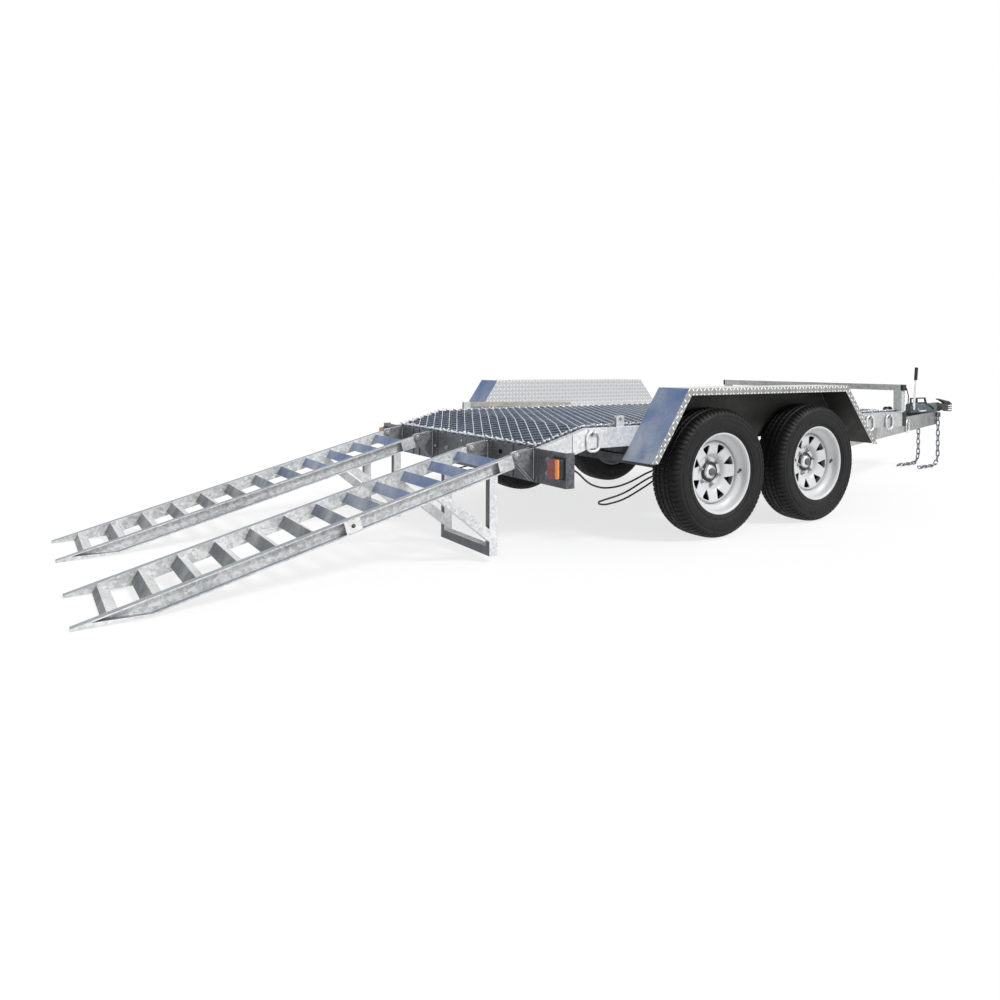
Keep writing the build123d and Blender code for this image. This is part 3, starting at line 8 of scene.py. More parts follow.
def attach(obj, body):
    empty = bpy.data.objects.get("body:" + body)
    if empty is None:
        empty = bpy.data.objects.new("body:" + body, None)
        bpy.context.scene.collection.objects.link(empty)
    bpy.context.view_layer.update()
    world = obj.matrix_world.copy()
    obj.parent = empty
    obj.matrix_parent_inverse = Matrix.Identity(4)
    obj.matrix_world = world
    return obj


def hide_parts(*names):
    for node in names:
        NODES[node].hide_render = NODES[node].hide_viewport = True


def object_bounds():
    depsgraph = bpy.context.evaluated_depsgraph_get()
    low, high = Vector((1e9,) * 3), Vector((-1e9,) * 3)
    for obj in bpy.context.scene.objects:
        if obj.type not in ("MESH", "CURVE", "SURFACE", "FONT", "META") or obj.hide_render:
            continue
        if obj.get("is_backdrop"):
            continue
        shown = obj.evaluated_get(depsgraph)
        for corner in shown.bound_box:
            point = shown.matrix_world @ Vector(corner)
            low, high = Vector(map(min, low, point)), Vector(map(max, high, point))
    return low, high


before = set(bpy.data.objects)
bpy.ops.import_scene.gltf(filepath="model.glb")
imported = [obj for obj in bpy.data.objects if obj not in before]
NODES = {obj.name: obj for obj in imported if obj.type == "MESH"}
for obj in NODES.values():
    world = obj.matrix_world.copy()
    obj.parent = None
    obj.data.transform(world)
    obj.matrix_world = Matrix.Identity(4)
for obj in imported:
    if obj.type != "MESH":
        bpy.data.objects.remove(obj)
cad_low, cad_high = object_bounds()

# ---------------------------------------------------------------- camera
YAW, PITCH, ROLL = radians(53.841), radians(-0.64), radians(0.363)
CAMERA_AT = (-3.527, -3.818, 0.884)
SENSOR, FOCAL = 36, 28.20204        # mm
SHIFT = (-0.086, -0.1273)           # of the picture, as a share of its width
ahead = Vector((cos(YAW) * cos(PITCH), sin(YAW) * cos(PITCH), sin(PITCH)))
level = ahead.cross(Vector((0, 0, 1))).normalized()
upright = level.cross(ahead)
right = level * cos(ROLL) + upright * sin(ROLL)
up = upright * cos(ROLL) - level * sin(ROLL)
camera = bpy.data.objects.new("camera", bpy.data.cameras.new("camera"))
bpy.context.collection.objects.link(camera)
camera.matrix_world = Matrix.Translation(CAMERA_AT) @ Matrix((right, up, -ahead)).transposed().to_4x4()
camera.data.sensor_width = SENSOR
camera.data.lens = FOCAL
camera.data.shift_x, camera.data.shift_y = SHIFT
camera.data.clip_end = 200
bpy.context.scene.camera = camera
bpy.context.scene.view_settings.view_transform = "Standard"


# ---------------------------------------------------------------- materials
def grey(value):
    """A plain number as a grey colour, anything else as it is."""
    return (value,) * 3 if isinstance(value, (int, float)) else value


def toned(colour, share):
    return [min(1.0, c * share) for c in colour]


class Shade:
    """A node material that is built up socket by socket."""

    def __init__(self, name):
        self.mat = bpy.data.materials.new(name)
        self.mat.use_nodes = True
        self.tree = self.mat.node_tree
        self.bsdf = self.tree.nodes["Principled BSDF"]
        source = self.tree.nodes.new("ShaderNodeTexCoord")
        self.coords, self.facing = source.outputs["Object"], source.outputs["Normal"]

    def put(self, target, value):
        if isinstance(value, bpy.types.NodeSocket):
            self.tree.links.new(value, target)
        elif isinstance(value, (tuple, list)) and len(value) == 3 and target.type == "RGBA":
            target.default_value = tuple(value) + (1,)
        else:
            target.default_value = value

    def node(self, kind, out=0, settings=None, **inputs):
        made = self.tree.nodes.new("ShaderNode" + kind)
        for key, value in (settings or {}).items():
            setattr(made, key, value)
        for key, value in inputs.items():
            self.put(made.inputs[key.replace("_", " ")], value)
        return made.outputs[out]

    def math(self, operation, *values):
        made = self.tree.nodes.new("ShaderNodeMath")
        made.operation = operation
        for target, value in zip(made.inputs, values):
            self.put(target, value)
        return made.outputs[0]

    def stretch(self, x=1.0, y=1.0, z=1.0):
        return self.node("Mapping", Vector=self.coords, Scale=(x, y, z))

    def axis(self, which, vector=None):
        return self.node("SeparateXYZ", out="XYZ".index(which), Vector=vector or self.coords)

    def noise(self, scale, detail=3.0, rough=0.55, vector=None):
        return self.node("TexNoise", Vector=vector or self.coords, Scale=scale, Detail=detail, Roughness=rough)

    def cells(self, scale):
        made = self.node("TexVoronoi", out="Color", Vector=self.coords, Scale=scale)
        return self.node("SeparateColor", Color=made)

    def spread(self, value, low, high, start=0.0, end=1.0):
        """A value's share of the way from low to high, as a number from start to end."""
        return self.node("MapRange", Value=value, From_Min=low, From_Max=high, To_Min=start, To_Max=end)

    def ramp(self, value, *stops):
        made = self.tree.nodes.new("ShaderNodeValToRGB")
        self.put(made.inputs["Fac"], value)
        elements = made.color_ramp.elements
        while len(elements) < len(stops):
            elements.new(0.5)
        for element, (position, colour) in zip(elements, stops):
            element.position = position
            element.color = tuple(grey(colour)) + (1,)
        return made.outputs["Color"]

    def mix(self, fac, a, b):
        made = self.tree.nodes.new("ShaderNodeMix")
        made.data_type = "RGBA"
        made.clamp_factor = True
        self.put(made.inputs[0], fac)
        self.put(made.inputs[6], grey(a))
        self.put(made.inputs[7], grey(b))
        return made.outputs[2]

    def edges(self, radius):
        """Nought on a flat face, rising to one on an edge, and the normal rounded over that edge."""
        soft = self.node("Bevel", settings={"samples": 4}, Radius=radius)
        flat = self.node("NewGeometry", out=1)
        made = self.node("VectorMath", out=1, settings={"operation": "DOT_PRODUCT"})
        self.put(made.node.inputs[0], soft)
        self.put(made.node.inputs[1], flat)
        return self.spread(made, 1.0, 0.65), soft

    def bump(self, height, strength, distance, normal=None):
        made = self.node("Bump", Height=height, Strength=strength, Distance=distance)
        if normal is not None:
            self.put(made.node.inputs["Normal"], normal)
        self.put(self.bsdf.inputs["Normal"], made)

    def done(self, colour, rough, metallic=0.0, **more):
        self.put(self.bsdf.inputs["Base Color"], colour)
        self.put(self.bsdf.inputs["Roughness"], rough)
        self.bsdf.inputs["Metallic"].default_value = metallic
        for key, value in more.items():
            self.put(self.bsdf.inputs[key.replace("_", " ")], value)
        return self.mat


def oriented(s, direction, low, high):
    """How far a face looks in a direction, from nought at the cosine low to one at high."""
    made = s.node("VectorMath", out=1, settings={"operation": "DOT_PRODUCT"})
    s.put(made.node.inputs[0], s.facing)
    made.node.inputs[1].default_value = Vector(direction).normalized()
    return s.spread(made, low, high)


# direction of the faces that take the painted sky reflection
REAR_UP = (-0.7, 0, 0.7)
LIP_Y = 1.035               # inner side of the guards' lip, from the middle of the trailer
LOZENGE_PITCH = 0.026


def zinc(name, dark, light, metallic=0.45, low=0.32, high=0.55, dull=0.0, sky=None, sky_share=0.85,
         rear=None, edge=0.6, chequer=False, painted_shade_along_x=None, top=None, sky_far=None):
    """Hot dip galvanised steel: spangle cells, cloudy patches, run marks and bright edges that are painted
    highlights.

    rear and top are painted shade on the faces that look to the rear and up, and sky is a painted sky reflection
    on the faces that look up to the rear; sky_far is a darker painted reflection on the lower end of the ramps;
    painted_shade_along_x is where a painted shade starts and ends along x, its share and its colour; chequer
    puts lozenges on upright walls with painted highlights on them and painted shade between them, and paints
    shade on the wheels' side and the underside.
    """
    s = Shade(name)
    spangle = s.cells(85)
    clouds = s.noise(3.5, 5)
    lightness = s.math("MULTIPLY_ADD", spangle, 0.4, s.math("MULTIPLY", clouds, 0.75))
    base = s.ramp(lightness, (0.25, dark), (0.85, light))
    streak = s.noise(9, 4, vector=s.stretch(1, 1, 0.12))
    base = s.mix(s.ramp(streak, (0.55, 0.0), (0.8, 0.3 + dull)), base, toned(dark, 0.55))
    # painted shade on the faces that look to the rear
    if rear:
        base = s.mix(oriented(s, (-1, 0, -0.1), 0.75, 0.95), base, s.mix(clouds, rear, toned(rear, 0.55)))
    # painted shade on the faces that look up, such as the ramps' top flanges
    if top:
        base = s.mix(s.math("MULTIPLY", oriented(s, (0, 0, 1), 0.9, 0.95), 0.8), base, top)
    # towards the lower end of the ramps a darker painted reflection takes the place of the painted sky
    if sky_far:
        sky = s.mix(s.spread(s.axis("X"), -2.15, -2.55), sky, sky_far)
    if chequer:
        # on the guards the painted sky reflection turns paler, in patches, lower down
        mottle = s.ramp(s.noise(8, 5), (0.35, 0.0), (0.6, 1.0))
        low_down = s.math("MULTIPLY", s.spread(s.axis("Z"), 0.62, 0.43), mottle)
        sky = s.mix(low_down, sky, (0.40, 0.47, 0.58))
    # painted sky reflection, in patches, on the faces that look up to the rear
    if sky:
        patch = s.ramp(s.noise(5, 4), (0.4, 1.0), (0.72, 1.0 - sky_share * 0.4))
        base = s.mix(s.math("MULTIPLY", oriented(s, REAR_UP, 0.82, 0.93), s.math("MULTIPLY", patch, sky_share)),
                     base, sky)
    # painted shade, darker along x
    if painted_shade_along_x:
        start, end, most, tint = painted_shade_along_x
        share = s.math("MULTIPLY", s.ramp(s.noise(11, 4), (0.3, 1.0), (0.8, 0.55)), most)
        base = s.mix(s.math("MULTIPLY", s.spread(s.axis("X"), start, end), share), base, tint)
    height = s.mix(0.5, s.noise(260, 2), spangle)
    if chequer:
        wall = s.spread(s.math("ABSOLUTE", s.axis("Y", s.facing)), 0.6, 0.8)
        lip = s.spread(s.math("ABSOLUTE", s.axis("Y")), LIP_Y, LIP_Y + 0.005)
        lozenge = lozenges(s, LOZENGE_PITCH)
        shown = s.math("MULTIPLY", wall, lozenge)
        # painted shade on the ground between the raised lozenges, and painted highlights on the lozenges
        ground = s.mix(lip, toned(light, 0.72), s.mix(clouds, (0.13, 0.13, 0.13), (0.42, 0.42, 0.41)))
        base = s.mix(s.math("MULTIPLY", wall, s.math("SUBTRACT", 1.0, lozenge)), base, ground)
        base = s.mix(shown, base, toned(light, 1.15))
        height = s.mix(wall, height, shown)
        # painted shade: the side to the wheels and the underside lie in the dark
        towards = s.math("MULTIPLY", s.axis("Y"), s.axis("Y", s.facing))
        inside = s.math("MAXIMUM", s.spread(towards, 0.3, 0.5), s.spread(s.axis("Z", s.facing), -0.1, -0.3))
        wheel_side_shade = s.math("MULTIPLY", inside, s.math("SUBTRACT", 1.0, lip))
        base = s.mix(wheel_side_shade, base, s.mix(clouds, (0.012, 0.013, 0.014), (0.085, 0.083, 0.078)))
    mask, soft = s.edges(0.0025)
    # painted highlights along the edges
    base = s.mix(s.math("MULTIPLY", mask, edge), base, toned(light, 1.25))
    rough = s.spread(s.noise(18, 4), 0.3, 0.7, low, high)
    s.bump(height, 0.35, 0.001, soft)
    return s.done(base, rough, metallic)


def lozenges(s, pitch):
    """Chequer plate: raised lozenges that lean one way and the other by turns, on upright walls."""
    u = s.math("DIVIDE", s.math("ADD", s.axis("X"), 20.0), pitch)
    v = s.math("DIVIDE", s.math("ADD", s.axis("Z"), 20.0), pitch)
    parity = s.math("MODULO", s.math("ADD", s.math("FLOOR", u), s.math("FLOOR", v)), 2.0)
    fu = s.math("SUBTRACT", s.math("FRACT", u), 0.5)
    fv = s.math("SUBTRACT", s.math("FRACT", v), 0.5)
    along, across = s.math("ABSOLUTE", s.math("ADD", fu, fv)), s.math("ABSOLUTE", s.math("SUBTRACT", fu, fv))
    size = []
    for one, other in ((along, across), (across, along)):
        size.append(s.math("ADD", s.math("MULTIPLY", one, 1.35), s.math("MULTIPLY", other, 4.6)))
    picked = s.math("ADD", s.math("MULTIPLY", size[0], parity),
                    s.math("MULTIPLY", size[1], s.math("SUBTRACT", 1.0, parity)))
    return s.spread(picked, 1.05, 0.8)


# painted shade on the faces to the rear, painted sky reflection on the faces up to the rear
STEEL = zinc("zinc_steel", (0.50, 0.51, 0.52), (0.80, 0.81, 0.82), rear=(0.13, 0.15, 0.17),
             sky=(0.30, 0.38, 0.52), sky_share=0.5)
# the rear panel: zinc darkened as painted shade, with painted highlights on its edges
PANEL = zinc("zinc_panel_painted_shade", (0.055, 0.06, 0.068), (0.15, 0.165, 0.18), 0.5, 0.25, 0.45, edge=1.0)
# painted sky reflection on the faces up to the rear, painted shade on the faces to the rear and on the top
# flanges, painted highlights on the edges
RAMP = zinc("zinc_ramp", (0.36, 0.37, 0.375), (0.76, 0.77, 0.77), sky=(0.40, 0.46, 0.56), sky_share=0.3,
            rear=(0.2, 0.21, 0.23), top=(0.20, 0.23, 0.26), edge=0.8)
# painted deep blue sky reflection on the faces up to the rear, a darker painted reflection towards the ramps'
# lower end
RUNG = zinc("zinc_rung", (0.55, 0.56, 0.56), (0.88, 0.89, 0.89), sky=(0.10, 0.17, 0.34), sky_share=0.97,
            edge=0.4, sky_far=(0.075, 0.092, 0.10))
# the parts under the deck: zinc darkened as painted shade
SHADE = zinc("zinc_painted_shade", (0.05, 0.055, 0.06), (0.16, 0.17, 0.18), 0.4, 0.4, 0.7, 0.2)
# the deck sheet under the mesh: zinc painted dark navy as shade and sky reflection
FLOOR = zinc("zinc_floor_painted_shade_and_sky", (0.035, 0.05, 0.085), (0.10, 0.14, 0.21), 0.5, 0.35, 0.55, 0.1, edge=0.2)
# painted deep blue sky reflection on the slopes up to the rear; the chequer paints highlights on the lozenges
# and shade between them and on the wheels' side
GUARD = zinc("zinc_guard", (0.50, 0.51, 0.51), (0.80, 0.81, 0.81), 0.25, 0.5, 0.7,
             sky=(0.09, 0.17, 0.38), sky_share=0.95, chequer=True)
# the hinge lugs: zinc darkened as painted shade, with painted highlights on their edges
LUG = zinc("zinc_lug_painted_shade", (0.15, 0.16, 0.17), (0.34, 0.35, 0.36), 0.5, 0.25, 0.45, edge=1.0)
RING = zinc("zinc_ring", (0.55, 0.56, 0.56), (0.9, 0.9, 0.9), 0.5, 0.22, 0.4)
POST = zinc("zinc_post", (0.42, 0.45, 0.44), (0.66, 0.69, 0.68), 0.4, 0.35, 0.55)
# one zinc for the expanded metal, in a light copy as painted highlight and a dark copy as painted shade
STRAND_HIGHLIGHT = zinc("zinc_strand_painted_highlight", (0.52, 0.56, 0.62), (0.95, 0.97, 1.0), 0.35, 0.25, 0.45, edge=0.3)
STRAND_SHADE = zinc("zinc_strand_painted_shade", (0.10, 0.13, 0.19), (0.30, 0.35, 0.43), 0.4, 0.3, 0.5, edge=0.2)
BRIGHT = zinc("bright_steel", (0.55, 0.56, 0.58), (0.88, 0.89, 0.9), 0.8, 0.18, 0.32)
NUT = zinc("nut_steel", (0.16, 0.16, 0.17), (0.5, 0.5, 0.52), 0.7, 0.25, 0.4)
# the coupling housing: zinc darkened as painted shade, with painted highlights on its edges
HOUSING = zinc("zinc_housing_painted_shade", (0.035, 0.05, 0.06), (0.12, 0.155, 0.17), 0.5, 0.25, 0.45, edge=1.0)
# painted shade, dark blue, towards the nose, and painted highlights on the edges
DRAWBAR = zinc("zinc_drawbar", (0.24, 0.24, 0.235), (0.50, 0.50, 0.49), 0.45, 0.35, 0.55, edge=0.9,
               painted_shade_along_x=(1.4, 2.9, 0.85, (0.045, 0.055, 0.07)))
# as the steel, with painted shade darkening the side rails towards the front
SIDE = zinc("zinc_side", (0.50, 0.51, 0.52), (0.80, 0.81, 0.82), rear=(0.13, 0.15, 0.17),
            sky=(0.30, 0.38, 0.52), sky_share=0.5, painted_shade_along_x=(0.3, 1.0, 0.6, (0.26, 0.27, 0.27)))
RAIL = zinc("zinc_rail", (0.40, 0.40, 0.38), (0.68, 0.68, 0.65), 0.4, 0.35, 0.55, edge=0.4)
CHAIN = zinc("zinc_chain", (0.05, 0.06, 0.08), (0.34, 0.37, 0.42), 0.7, 0.18, 0.35, edge=0.2)
STAY = zinc("zinc_stay", (0.34, 0.31, 0.28), (0.52, 0.49, 0.45), 0.35, 0.4, 0.6, edge=0.4)


def rubber():
    s = Shade("tyre_rubber")
    base = s.ramp(s.noise(14, 5), (0.3, 0.0025), (0.75, 0.007))
    dust = s.ramp(s.noise(45, 4), (0.55, 0.0), (0.85, 0.3))
    base = s.mix(dust, base, (0.020, 0.019, 0.017))
    s.bump(s.noise(700, 2), 0.3, 0.0005)
    # painted highlight along the tyre's edges
    mask = s.edges(0.0016)[0]
    base = s.mix(s.math("MULTIPLY", mask, 0.55), base, (0.11, 0.107, 0.10))
    return s.done(base, s.spread(s.noise(30), 0.3, 0.7, 0.5, 0.7), Specular_IOR_Level=0.3)


def paint(name, colour, rough=0.35, dirt=0.25, dirt_colour=(0.28, 0.26, 0.24), edge=None):
    s = Shade(name)
    patches = s.ramp(s.noise(22, 6), (0.55, 0.0), (0.8, dirt))
    base = s.mix(patches, colour, dirt_colour)
    mask, soft = s.edges(0.0015)
    # edge is the colour of a painted highlight along the edges
    if edge:
        base = s.mix(s.math("MULTIPLY", mask, 0.7), base, edge)
    s.bump(s.noise(420, 2), 0.12, 0.0004, soft)
    return s.done(base, s.spread(s.noise(40), 0.3, 0.7, rough * 0.8, rough * 1.3))


LENS_RIBS = 1250.0          # radians a metre, a rib every 5 mm


def lens(name, colour):
    s = Shade(name)
    ribs = s.math("SINE", s.math("MULTIPLY", s.axis("Z"), LENS_RIBS))
    base = s.mix(s.ramp(s.noise(60), (0.3, 0.0), (0.8, 0.35)), colour, toned(colour, 0.5))
    s.bump(ribs, 0.5, 0.0012)
    return s.done(base, s.spread(s.noise(90), 0.3, 0.7, 0.1, 0.2), 0.0, Coat_Weight=0.5)


RUBBER = rubber()
WHEEL = paint("wheel_white", (0.60, 0.61, 0.62), 0.32, 0.3, (0.36, 0.35, 0.34), edge=(0.85, 0.85, 0.85))
BLACK = paint("black_paint", (0.010, 0.010, 0.011), 0.35, 0.5, (0.04, 0.04, 0.04), edge=(0.12, 0.12, 0.12))
PLASTIC = paint("black_plastic", (0.012, 0.012, 0.013), 0.5, 0.4, (0.04, 0.04, 0.04))
RED = lens("red_lens", (0.26, 0.006, 0.008))
AMBER = lens("amber_lens", (0.95, 0.30, 0.03))
SHEATH = paint("cable_sheath", (0.01, 0.01, 0.011), 0.45, 0.4, (0.04, 0.04, 0.04))
WHITE = paint("white_strip", (0.82, 0.83, 0.83), 0.4, 0.3, (0.5, 0.5, 0.48))

# Start of a node's name, and its material
FINISH = (
    ("tyre_", RUBBER), ("rim_", WHEEL), ("hub_", BLACK), ("axle_", SHADE), ("leaf_springs", SHADE),
    ("spring_hangers", SHADE), ("wheel_guard", GUARD), ("deck_floor", FLOOR), ("mesh_strands", STRAND_SHADE),
    ("rear_panel", PANEL), ("ramp_rails", RAMP), ("ramp_rungs", RUNG), ("ramp_catch", RING),
    ("hinge_lugs", LUG), ("side_rail", SIDE), ("drawbar_nose", DRAWBAR), ("drawbar_member", DRAWBAR),
    ("front_rail", RAIL), ("lashing_rings", RING), ("front_posts", POST), ("stay_arm", STAY),
    ("coupling_housing", HOUSING), ("coupling_", BLACK), ("housing_loop", BLACK), ("handbrake_grip", PLASTIC),
    ("handbrake_lever", BRIGHT), ("lamp_backs", PLASTIC), ("lamp_red", RED), ("lamp_amber", AMBER),
    ("rail_ends", PLASTIC), ("safety_chain", CHAIN), ("brake_cables", SHEATH), ("lamp_cables", SHEATH),
    ("ramp_hinge_pins", BRIGHT), ("cross_bearers", SHADE),
    ("", STEEL),
)
for name, node in NODES.items():
    finish = next(mat for start, mat in FINISH if name.startswith(start))
    node.data.materials.clear()
    node.data.materials.append(finish)


# ---------------------------------------------------------------- making of forms
class Form:
    """Closed solids gathered into one mesh, in metres."""

    def __init__(self):
        self.points, self.faces, self.soft = [], [], []

    def loft(self, rings, soft=False, loop=False):
        """Quads between rings of equally many points, with a cap on both ends unless they close in a loop."""
        first, count = len(self.points), len(rings[0])
        for ring in rings:
            self.points += [tuple(p) for p in ring]
        steps = len(rings) if loop else len(rings) - 1
        for k in range(steps):
            a, b = first + k * count, first + (k + 1) % len(rings) * count
            for i in range(count):
                j = (i + 1) % count
                self.faces.append((a + i, a + j, b + j, b + i))
                self.soft.append(soft)
        if not loop:
            end = first + steps * count
            self.faces += [tuple(range(first + count - 1, first - 1, -1)), tuple(range(end, end + count))]
            self.soft += [False, False]

    def prism(self, outline, place, depth, along=0.0):
        """An outline of (a, b) points in a place's plane, drawn out along its axis."""
        self.loft([[place(a, b, along + d) for a, b in outline] for d in (0, depth)])

    def turned(self, profile, place, sides=24, soft=True):
        """A solid of revolution about a place's axis, from (radius, distance) points."""
        angles = [2 * pi * (i + 0.5) / sides for i in range(sides)]
        self.loft([[place(radius * cos(angle), radius * sin(angle), along) for angle in angles]
                   for radius, along in profile], soft)

    def tube(self, path, radius, sides=8, loop=False):
        """A round bar along a line of points; the radius may be a list, one for each point."""
        path = [Vector(p) for p in path]
        radii = radius if isinstance(radius, (list, tuple)) else [radius] * len(path)
        rings, side = [], None
        for k, point in enumerate(path):
            before = path[k - 1] if k or loop else point
            after = path[(k + 1) % len(path)] if k + 1 < len(path) or loop else point
            way = (after - before).normalized()
            if side is None:
                side = way.orthogonal()
            side = (side - way * side.dot(way)).normalized()
            other = way.cross(side)
            rings.append([point + (side * cos(2 * pi * i / sides) + other * sin(2 * pi * i / sides)) * radii[k]
                          for i in range(sides)])
        self.loft(rings, True, loop)

    def bolt(self, place, size=0.010, washer=True, stud=0.0):
        """Hexagon head with a washer; size is the bolt's diameter, stud how far its end stands out."""
        base = 0.0
        if washer:
            self.turned([(size * 1.1, 0), (size * 1.1, size * 0.17), (size * 0.9, size * 0.2)], place, 20)
            base = size * 0.18
        head, high = size * 0.95, size * 0.65
        self.turned([(head, base), (head, base + high * 0.8), (head * 0.84, base + high)], place, 6, False)
        if stud:
            self.turned([(size * 0.5, base + high), (size * 0.5, base + high + stud * 0.8),
                         (size * 0.38, base + high + stud)], place, 12)

    def bead(self, start, end, radius=0.0028, step=0.006):
        """A weld bead: overlapping ripples along a line."""
        start, end = Vector(start), Vector(end)
        count = max(2, int((end - start).length / step))
        path = [start.lerp(end, k / (2 * count)) for k in range(2 * count + 1)]
        self.tube(path, [radius * (1.0 if k % 2 else 0.78) for k in range(len(path))], 6)

    def mesh(self, name, finish):
        mesh = bpy.data.meshes.new(name)
        mesh.from_pydata(self.points, [], self.faces)
        mesh.polygons.foreach_set("use_smooth", self.soft)
        shape = bmesh.new()
        shape.from_mesh(mesh)
        bmesh.ops.recalc_face_normals(shape, faces=shape.faces)
        shape.to_mesh(mesh)
        shape.free()
        mesh.materials.append(finish)
        return mesh

    def made(self, name, finish, body, slot, replaced=(), bevel=0.0, origin=(0, 0, 0)):
        return placed(name, self.mesh(name, finish), body, replaced, bevel, origin)


def soften(piece, width):
    """Rounds a piece's sharp edges."""
    rounded = piece.modifiers.new("rounded", "BEVEL")
    rounded.width, rounded.segments, rounded.limit_method = width, 2, "ANGLE"
    rounded.angle_limit = radians(40)


def placed(name, mesh, body, replaced=(), bevel=0.0, origin=(0, 0, 0)):
    piece = bpy.data.objects.new(name, mesh)
    bpy.context.collection.objects.link(piece)
    piece.location = origin
    if bevel:
        soften(piece, bevel)
    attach(piece, body)
    if replaced:
        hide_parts(*replaced)
    return piece


def place(origin, axis, across=None):
    """Local (a, b, along) coordinates at a point, along its axis."""
    origin, axis = Vector(origin), Vector(axis).normalized()
    first = Vector(across) if across else axis.orthogonal()
    first = (first - axis * first.dot(axis)).normalized()
    second = axis.cross(first)
    return lambda a, b, along: origin + first * a + second * b + axis * along


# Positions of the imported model, in metres
AXLES_X = -0.239263
WHEEL_X = {"front": AXLES_X + 0.384, "rear": AXLES_X - 0.384}
WHEEL_Y, WHEEL_Z = 0.934, 0.332
SIDES = (("right", -1), ("left", 1))
PANEL_X, BEND_X = -1.596263, -1.321263
HINGE_X, HINGE_Z = -1.686263, 0.462
DECK_TOP, HALF_FRAME = 0.576, 0.822
RAMP_ANGLE = radians(15.43)
RAMP_Y = 0.539
EYE_Y, LUG_Y = 0.2155, 0.019    # from a ramp's middle to a hinge eye's, and from there to a lug's face
FIRST_RUNG, RUNG_PITCH = 0.075, 0.1427


def slope_point(along, above, y):
    """A point of a lowered ramp, along its slope from the pin and square above it."""
    return Vector((HINGE_X - along * cos(RAMP_ANGLE) - above * sin(RAMP_ANGLE), y,
                   HINGE_Z - along * sin(RAMP_ANGLE) + above * cos(RAMP_ANGLE)))


# ---------------------------------------------------------------- tyres
LUGS = 76
# Share of a lug's pitch, and share of a groove's depth
LUG_STEPS = ((0.0, 0.0), (0.12, 1.0), (0.34, 1.0), (0.46, 0.0))
TWIST, MIDDLE_BAND = 0.22, 0.05     # radians a metre across the tread; the lugs within it stand half a pitch on
# Radius, distance from the middle plane, and depth of the cross grooves, from the middle outwards
TREAD = ((0.3318, 0.0, 0.0), (0.3318, 0.012, 0.0025), (0.3245, 0.014, 0), (0.3245, 0.021, 0),
         (0.3316, 0.023, 0.0025), (0.3312, 0.040, 0.0025), (0.3245, 0.042, 0), (0.3245, 0.049, 0),
         (0.3305, 0.051, 0.004), (0.3282, 0.066, 0.005), (0.3242, 0.077, 0.0058), (0.3178, 0.0868, 0.0062),
         (0.3105, 0.0925, 0.005), (0.3045, 0.0956, 0.0022), (0.3000, 0.0972, 0), (0.2985, 0.0998, 0),
         (0.2945, 0.1002, 0), (0.2930, 0.0980, 0), (0.2800, 0.0992, 0), (0.2790, 0.1015, 0),
         (0.2745, 0.1017, 0), (0.2735, 0.0996, 0), (0.2560, 0.1002, 0), (0.2420, 0.0982, 0),
         (0.2330, 0.0955, 0), (0.2315, 0.0978, 0), (0.2260, 0.0972, 0), (0.2245, 0.0938, 0),
         (0.2160, 0.0905, 0), (0.2086, 0.0880, 0), (0.2086, 0.0600, 0))


def tyre_form():
    form = Form()
    outline = list(TREAD) + [(r, -y, d) for r, y, d in reversed(TREAD[1:])]
    rings = []
    for lug in range(LUGS):
        for share, deep in LUG_STEPS:
            ring = []
            for radius, y, depth in outline:
                half_pitch = 0.5 * 2 * pi / LUGS if abs(y) < MIDDLE_BAND else 0
                angle = 2 * pi * (lug + share) / LUGS + TWIST * abs(y) + half_pitch
                r = radius - depth * deep
                ring.append((r * cos(angle), y, r * sin(angle)))
            rings.append(ring)
    form.loft(rings, True, True)
    return form


# Sections of the pressed steel wheel: radius, and distance outboard of the middle plane
BARREL = ((0.2010, 0.0800), (0.2072, 0.0870), (0.2076, 0.0884), (0.2060, 0.0890), (0.1985, 0.0862),
          (0.1945, 0.0800), (0.1925, 0.0720), (0.1905, 0.0560), (0.1880, 0.0520), (0.1740, 0.0420),
          (0.1670, 0.0370), (0.1645, 0.0300), (0.1640, -0.0290), (0.1660, -0.0350), (0.1880, -0.0500),
          (0.1920, -0.0740), (0.1990, -0.0860), (0.2060, -0.0890), (0.2076, -0.0884), (0.2072, -0.0870),
          (0.2010, -0.0800), (0.1985, -0.0740), (0.1975, -0.0560), (0.1700, -0.0350), (0.1690, 0.0290),
          (0.1975, 0.0560), (0.1985, 0.0740))
DISC = ((0.0500, -0.0080), (0.0740, -0.0080), (0.0800, -0.0065), (0.0880, 0.0060), (0.0960, 0.0150),
        (0.1050, 0.0185), (0.1420, 0.0290), (0.1520, 0.0288), (0.1600, 0.0220), (0.1638, 0.0100),
        (0.1640, -0.0100), (0.1600, -0.0100), (0.1580, 0.0120), (0.1500, 0.0225), (0.1420, 0.0232),
        (0.1050, 0.0127), (0.0960, 0.0085), (0.0900, 0.0010), (0.0820, -0.0120), (0.0740, -0.0140),
        (0.0500, -0.0140))
# Outline of a window of the disc: distance from the axle, and across
WINDOW = ((0.096, 0.002), (0.137, 0.0245), (0.145, 0.0225), (0.147, 0.0), (0.145, -0.0225), (0.137, -0.0245),
          (0.096, -0.002))
WINDOWS, NUTS, NUT_CIRCLE = 8, 6, 0.066
NUT_TURN = 20                   # degrees from a window to a nut
WINDOW_TURN = {"rear_right": 22.5, "front_right": -8, "rear_left": 10, "front_left": 30}
VALVE_TURN = {"rear_right": 0, "front_right": 0, "rear_left": -12.5, "front_left": 38}
VALVE_AT = 0.1800


def ring_about_y(form, profile, side, count=96):
    """A closed section turned about the wheel's axis."""
    rings = [[(r * cos(2 * pi * k / count), side * y, r * sin(2 * pi * k / count)) for r, y in profile]
             for k in range(count)]
    form.loft(rings, True, True)


def nut_angles(wheel):
    return [radians(WINDOW_TURN[wheel] + 360 / NUTS * k + NUT_TURN) for k in range(NUTS)]


